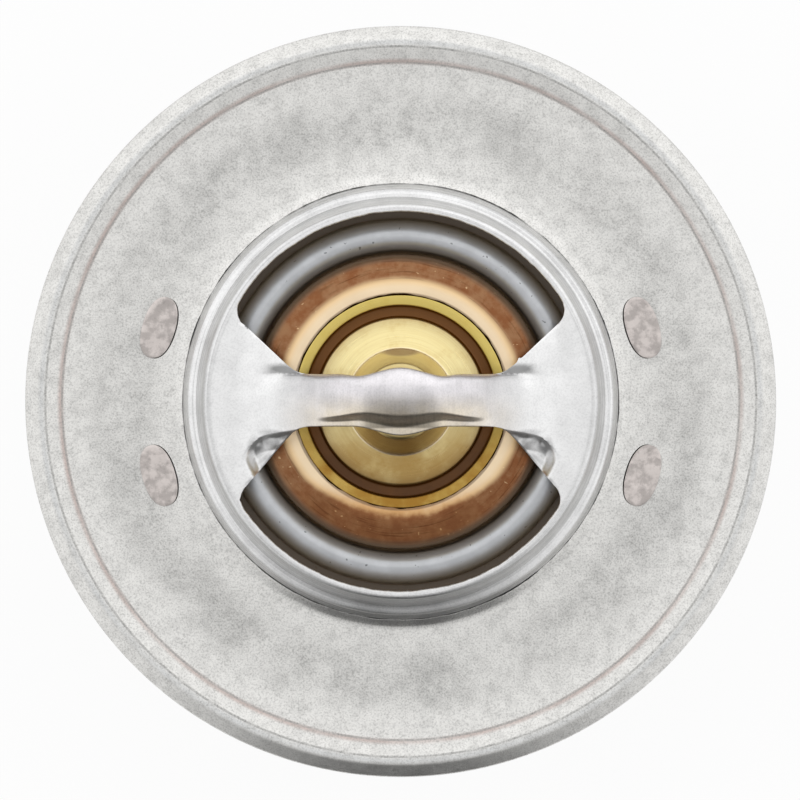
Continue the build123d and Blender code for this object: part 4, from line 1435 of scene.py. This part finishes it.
def spring_tree():
    """Winds a wire with closed, ground ends between two seats."""
    numbers = ("Wire", "Coil", "Floor", "Top", "Coils", "Grind")
    tree, given = geometry_tree("coil_spring", **dict.fromkeys(numbers, "Float"))
    wire, coil, floor, top, coils, grind = (given[name] for name in numbers)
    per_turn = 72
    turns = coils + 2.0
    line = add_node(tree, "GeometryNodeMeshLine", {"Count": turns * per_turn + 1.0})
    turn = add_node(tree, "GeometryNodeInputIndex") / per_turn
    low = floor + wire / 2.0 - grind
    rise = top - floor - wire + grind * 2.0
    closed_pitch = wire * 1.02
    spare = rise - closed_pitch * turns
    lift = closed_pitch * turn + spare * span(turn, 1.0, turns - 1.0, kind="LINEAR")
    spot = on_circle(coil, turn * (2 * math.pi), low + lift)
    wound = add_node(tree, "GeometryNodeSetPosition", {"Geometry": line, "Position": spot})
    path = add_node(tree, "GeometryNodeMeshToCurve", {"Mesh": wound})
    section = add_node(tree, "GeometryNodeCurvePrimitiveCircle", {"Resolution": 24, "Radius": wire / 2.0})
    inputs = {"Curve": path, "Profile Curve": section, "Fill Caps": True}
    swept = add_node(tree, "GeometryNodeCurveToMesh", inputs)
    x, y, z = add_node(tree, "GeometryNodeInputPosition").parts()
    flat = add_node(tree, "ShaderNodeCombineXYZ", {0: x, 1: y, 2: z.at_least(floor).at_most(top)})
    ground = add_node(tree, "GeometryNodeSetPosition", {"Geometry": swept, "Position": flat})
    return end_tree(tree, given, ground)


class THERMOSTAT_OT_spring(PieceOperator, bpy.types.Operator):
    """Wind the main spring at rest between its two seats; the real spring shortens as the valve opens"""

    bl_idname = "thermostat.spring"
    bl_label = "Main Spring"

    def execute(self, context):
        size = self.settings.cage
        spring = new_object("coil_spring", [], [])
        finish = spring_wire(self.tint("spring"))
        values = {
            "Wire": size.wire,
            "Coil": size.coil,
            "Floor": size.spring_floor,
            "Top": size.spring_top,
            "Coils": float(size.active_coils),
            "Grind": 0.5 * MM,
            "Material": finish,
        }
        run_tree(spring, spring_tree(), values)
        place(spring, "frame", "spring_steel", finish, "main_spring")
        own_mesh(spring)
        return {"FINISHED"}


class THERMOSTAT_OT_cage(PieceOperator, bpy.types.Operator):
    """Draw the lower frame: collar, floor and two legs"""

    bl_idname = "thermostat.cage"
    bl_label = "Lower Frame"

    columns = 40
    gap_columns = 50

    def execute(self, context):
        size = self.settings.cage
        window = size.floor + size.window_floor
        collar = size.collar_inner + size.sheet
        corners = [
            (collar, size.collar_end),
            (collar, size.floor),
            (size.floor_outer, size.floor),
            (size.outer, size.shoulder),
            (size.outer, -0.7 * MM),
        ]
        run = divided(rounded(corners, [0, 0.3 * MM, 2.2 * MM, 4.2 * MM, 0]), 0.55 * MM)
        split = int(np.argmax(run[:, 1] > window))
        low, high = run[split - 1], run[split]
        edge = low + (window - low[1]) / (high[1] - low[1]) * (high - low)
        cup = np.vstack([run[:split], edge])
        corner = edge[1] + size.window_corner * (1 - np.cos(np.linspace(0, math.pi / 2, 9)))
        above = run[split:][run[split:, 1] > corner[-1] + 0.2 * MM]
        corner_radii = np.interp(corner, run[:, 1], run[:, 0])
        legs = np.vstack([np.stack([corner_radii, corner], axis=-1), above])
        lift = np.clip((legs[:, 1] - window) / size.window_corner, 0, 1)
        half = size.leg + size.window_corner * (1 - np.sqrt(np.clip(1 - (1 - lift) ** 2, 0, 1)))
        half_angles = np.arcsin(half / legs[:, 0])[:, None]
        across = np.linspace(-1, 1, self.columns + 1)
        start = float(half_angles[0, 0])
        gap = np.linspace(start, math.pi - start, self.gap_columns + 1)[1:-1]
        angles = np.concatenate([start * across, gap, math.pi + start * across, math.pi + gap])
        turns = [(cup, angles[None, :], True)]
        turns += [(legs, turn + half_angles * across, False) for turn in (0, math.pi)]
        grids = []
        for rows, turned, wrap in turns:
            x, y = rows[:, :1] * np.cos(turned), rows[:, :1] * np.sin(turned)
            grids.append((np.stack([x, y, rows[:, 1:] + 0 * x], axis=-1), wrap))
        cage = new_object("cage", *joined_grids(grids))
        first = cage.data.polygons[0]
        if first.center.xy.dot(first.normal.xy) < 0:
            cage.data.flip_normals()
        thicken(cage, size.sheet)
        soft = cage.modifiers.new("edges", "BEVEL")
        soft.width = 0.12 * MM
        soft.segments = 2
        soft.limit_method = "ANGLE"
        soft.angle_limit = math.radians(60)
        bake(cage, math.radians(45))
        finish = pressed_steel("pressed_steel", self.tint("cage"), 0.22)
        place(cage, "frame", "frame_steel", finish, "lower_frame")
        return {"FINISHED"}


class THERMOSTAT_OT_filling(PieceOperator, bpy.types.Operator):
    """Finish the sealed pieces inside the cup, which keep their solid form"""

    bl_idname = "thermostat.filling"
    bl_label = "Sealed Filling"

    def execute(self, context):
        finishes = {
            # White, waxy sheet: pale and slightly glossy.
            "seal_washer": soft_filling("ptfe_sheet", "#ECEBE6", 0.35, 1 * MM),
            # Moulded nitrile rubber: black and matt, with a faint bloom.
            "squeeze_boot": soft_filling("nitrile_rubber", "#1E1E20", 0.6, 0.8 * MM),
            # Paraffin with copper powder: brown and dull.
            "wax_charge": soft_filling("filled_wax", "#8A5A3C", 0.5, 0.5 * MM),
        }
        for node, material in finishes.items():
            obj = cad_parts[node]
            obj.data.materials.clear()
            obj.data.materials.append(material)
            weld = obj.modifiers.new("weld", "WELD")
            weld.merge_threshold = 1e-6
        return {"FINISHED"}


class THERMOSTAT_OT_stage(PieceOperator, bpy.types.Operator):
    """Set the camera, the light tent and the paper under the part"""

    bl_idname = "thermostat.stage"
    bl_label = "Stage"

    paper_reach = 0.6
    # The tent's light from its southern end, at 0, to its northern one, at 1.
    tent = (
        (0.0, 0.02), (0.1, 0.06), (0.18, 0.42), (0.36, 0.53),
        (0.5, 0.75), (0.62, 0.81), (0.8, 0.87), (1.0, 0.92),
    )  # fmt: skip
    gain = 1.4

    def execute(self, context):
        size = self.settings.stage
        scene = context.scene
        camera = bpy.data.objects.new("camera", bpy.data.cameras.new("camera"))
        camera.data.sensor_width = 36
        camera.data.lens = 36 * size.camera_height / size.view_width
        camera.data.clip_start = 0.1
        camera.data.clip_end = 10
        height = self.settings.flange.crest + size.camera_height
        camera.location = (size.view_x, size.view_y, height)
        scene.collection.objects.link(camera)
        scene.camera = camera
        self.light_tent(scene, size)
        reach = self.paper_reach
        front = -size.floor_front
        drop = CAD_BOX[0][2] - size.floor_gap
        corners = [(-reach, front, drop), (reach, front, drop), (reach, reach, drop), (-reach, reach, drop)]
        floor = new_object("paper", corners, [(0, 1, 2, 3)])
        face_up(floor)
        floor.data.materials.append(white_paper(self.tint("floor")))
        scene.view_settings.view_transform = "Standard"
        return {"FINISHED"}

    def light_tent(self, scene, size):
        """A white tent, brighter behind the part than in front, with the lens's opening above."""
        world = bpy.data.worlds.new("light_tent")
        world.use_nodes = True
        scene.world = world
        tree = world.node_tree
        tree.nodes.clear()
        x, y, z = add_node(tree, "ShaderNodeTexCoord", out="Generated").parts()
        # The dark southern end is a narrow card, so it fades out to both sides.
        north = y.at_least(y * span(x * x, 0.06, 0.42, 1, 0, kind="LINEAR"))
        place_in_ramp = span(north, -1, 1, kind="LINEAR")
        ramp = add_node(tree, "ShaderNodeValToRGB", {0: place_in_ramp}, out="Color")
        stops = ramp.socket.node.color_ramp.elements
        while len(stops) < len(self.tent):
            stops.new(1)
        for stop, (spot, light) in zip(stops, self.tent):
            stop.position = spot
            stop.color = (light, light, light, 1)
        light = ramp * self.gain * span(z, 0.985, 0.997, 1, 0.85) * size.dome
        seen = add_node(tree, "ShaderNodeLightPath", out="Is Camera Ray")
        strength = light * (1.0 - seen) + seen
        sky = add_node(tree, "ShaderNodeBackground", {"Color": (1, 1, 1), "Strength": strength})
        add_node(tree, "ShaderNodeOutputWorld", {"Surface": sky}, out=())


class THERMOSTAT_PT_pieces(bpy.types.Panel):
    """Lists the sizes, the finishes and the pieces"""

    bl_idname = "THERMOSTAT_PT_pieces"
    bl_label = "Engine Thermostat"
    bl_space_type = "VIEW_3D"
    bl_region_type = "UI"
    bl_category = "Thermostat"

    def draw(self, context):
        layout = self.layout
        for operator in OPERATORS:
            layout.operator(operator.bl_idname, text=operator.bl_label)
        settings = context.scene.thermostat
        for group in settings.bl_rna.properties.keys():
            values = getattr(settings, group, None)
            if isinstance(values, bpy.types.PropertyGroup):
                box = layout.box()
                for name in values.__annotations__:
                    box.prop(values, name)


OPERATORS = (
    THERMOSTAT_OT_flange,
    THERMOSTAT_OT_heads,
    THERMOSTAT_OT_bridge,
    THERMOSTAT_OT_valve,
    THERMOSTAT_OT_spring,
    THERMOSTAT_OT_cage,
    THERMOSTAT_OT_filling,
    THERMOSTAT_OT_stage,
)
GROUPS = (FlangeSizes, BridgeSizes, ValveSizes, CageSizes, Finishes, StageSizes, ThermostatSettings)


def register():
    for cls in (*GROUPS, *OPERATORS, THERMOSTAT_PT_pieces):
        bpy.utils.register_class(cls)
    bpy.types.Scene.thermostat = PointerProperty(type=ThermostatSettings)


def unregister():
    del bpy.types.Scene.thermostat
    for cls in reversed((*GROUPS, *OPERATORS, THERMOSTAT_PT_pieces)):
        bpy.utils.unregister_class(cls)


def main():
    """Build every piece."""
    register()
    for operator in OPERATORS:
        group, name = operator.bl_idname.split(".")
        getattr(getattr(bpy.ops, group), name)()


if __name__ == "__main__":
    main()
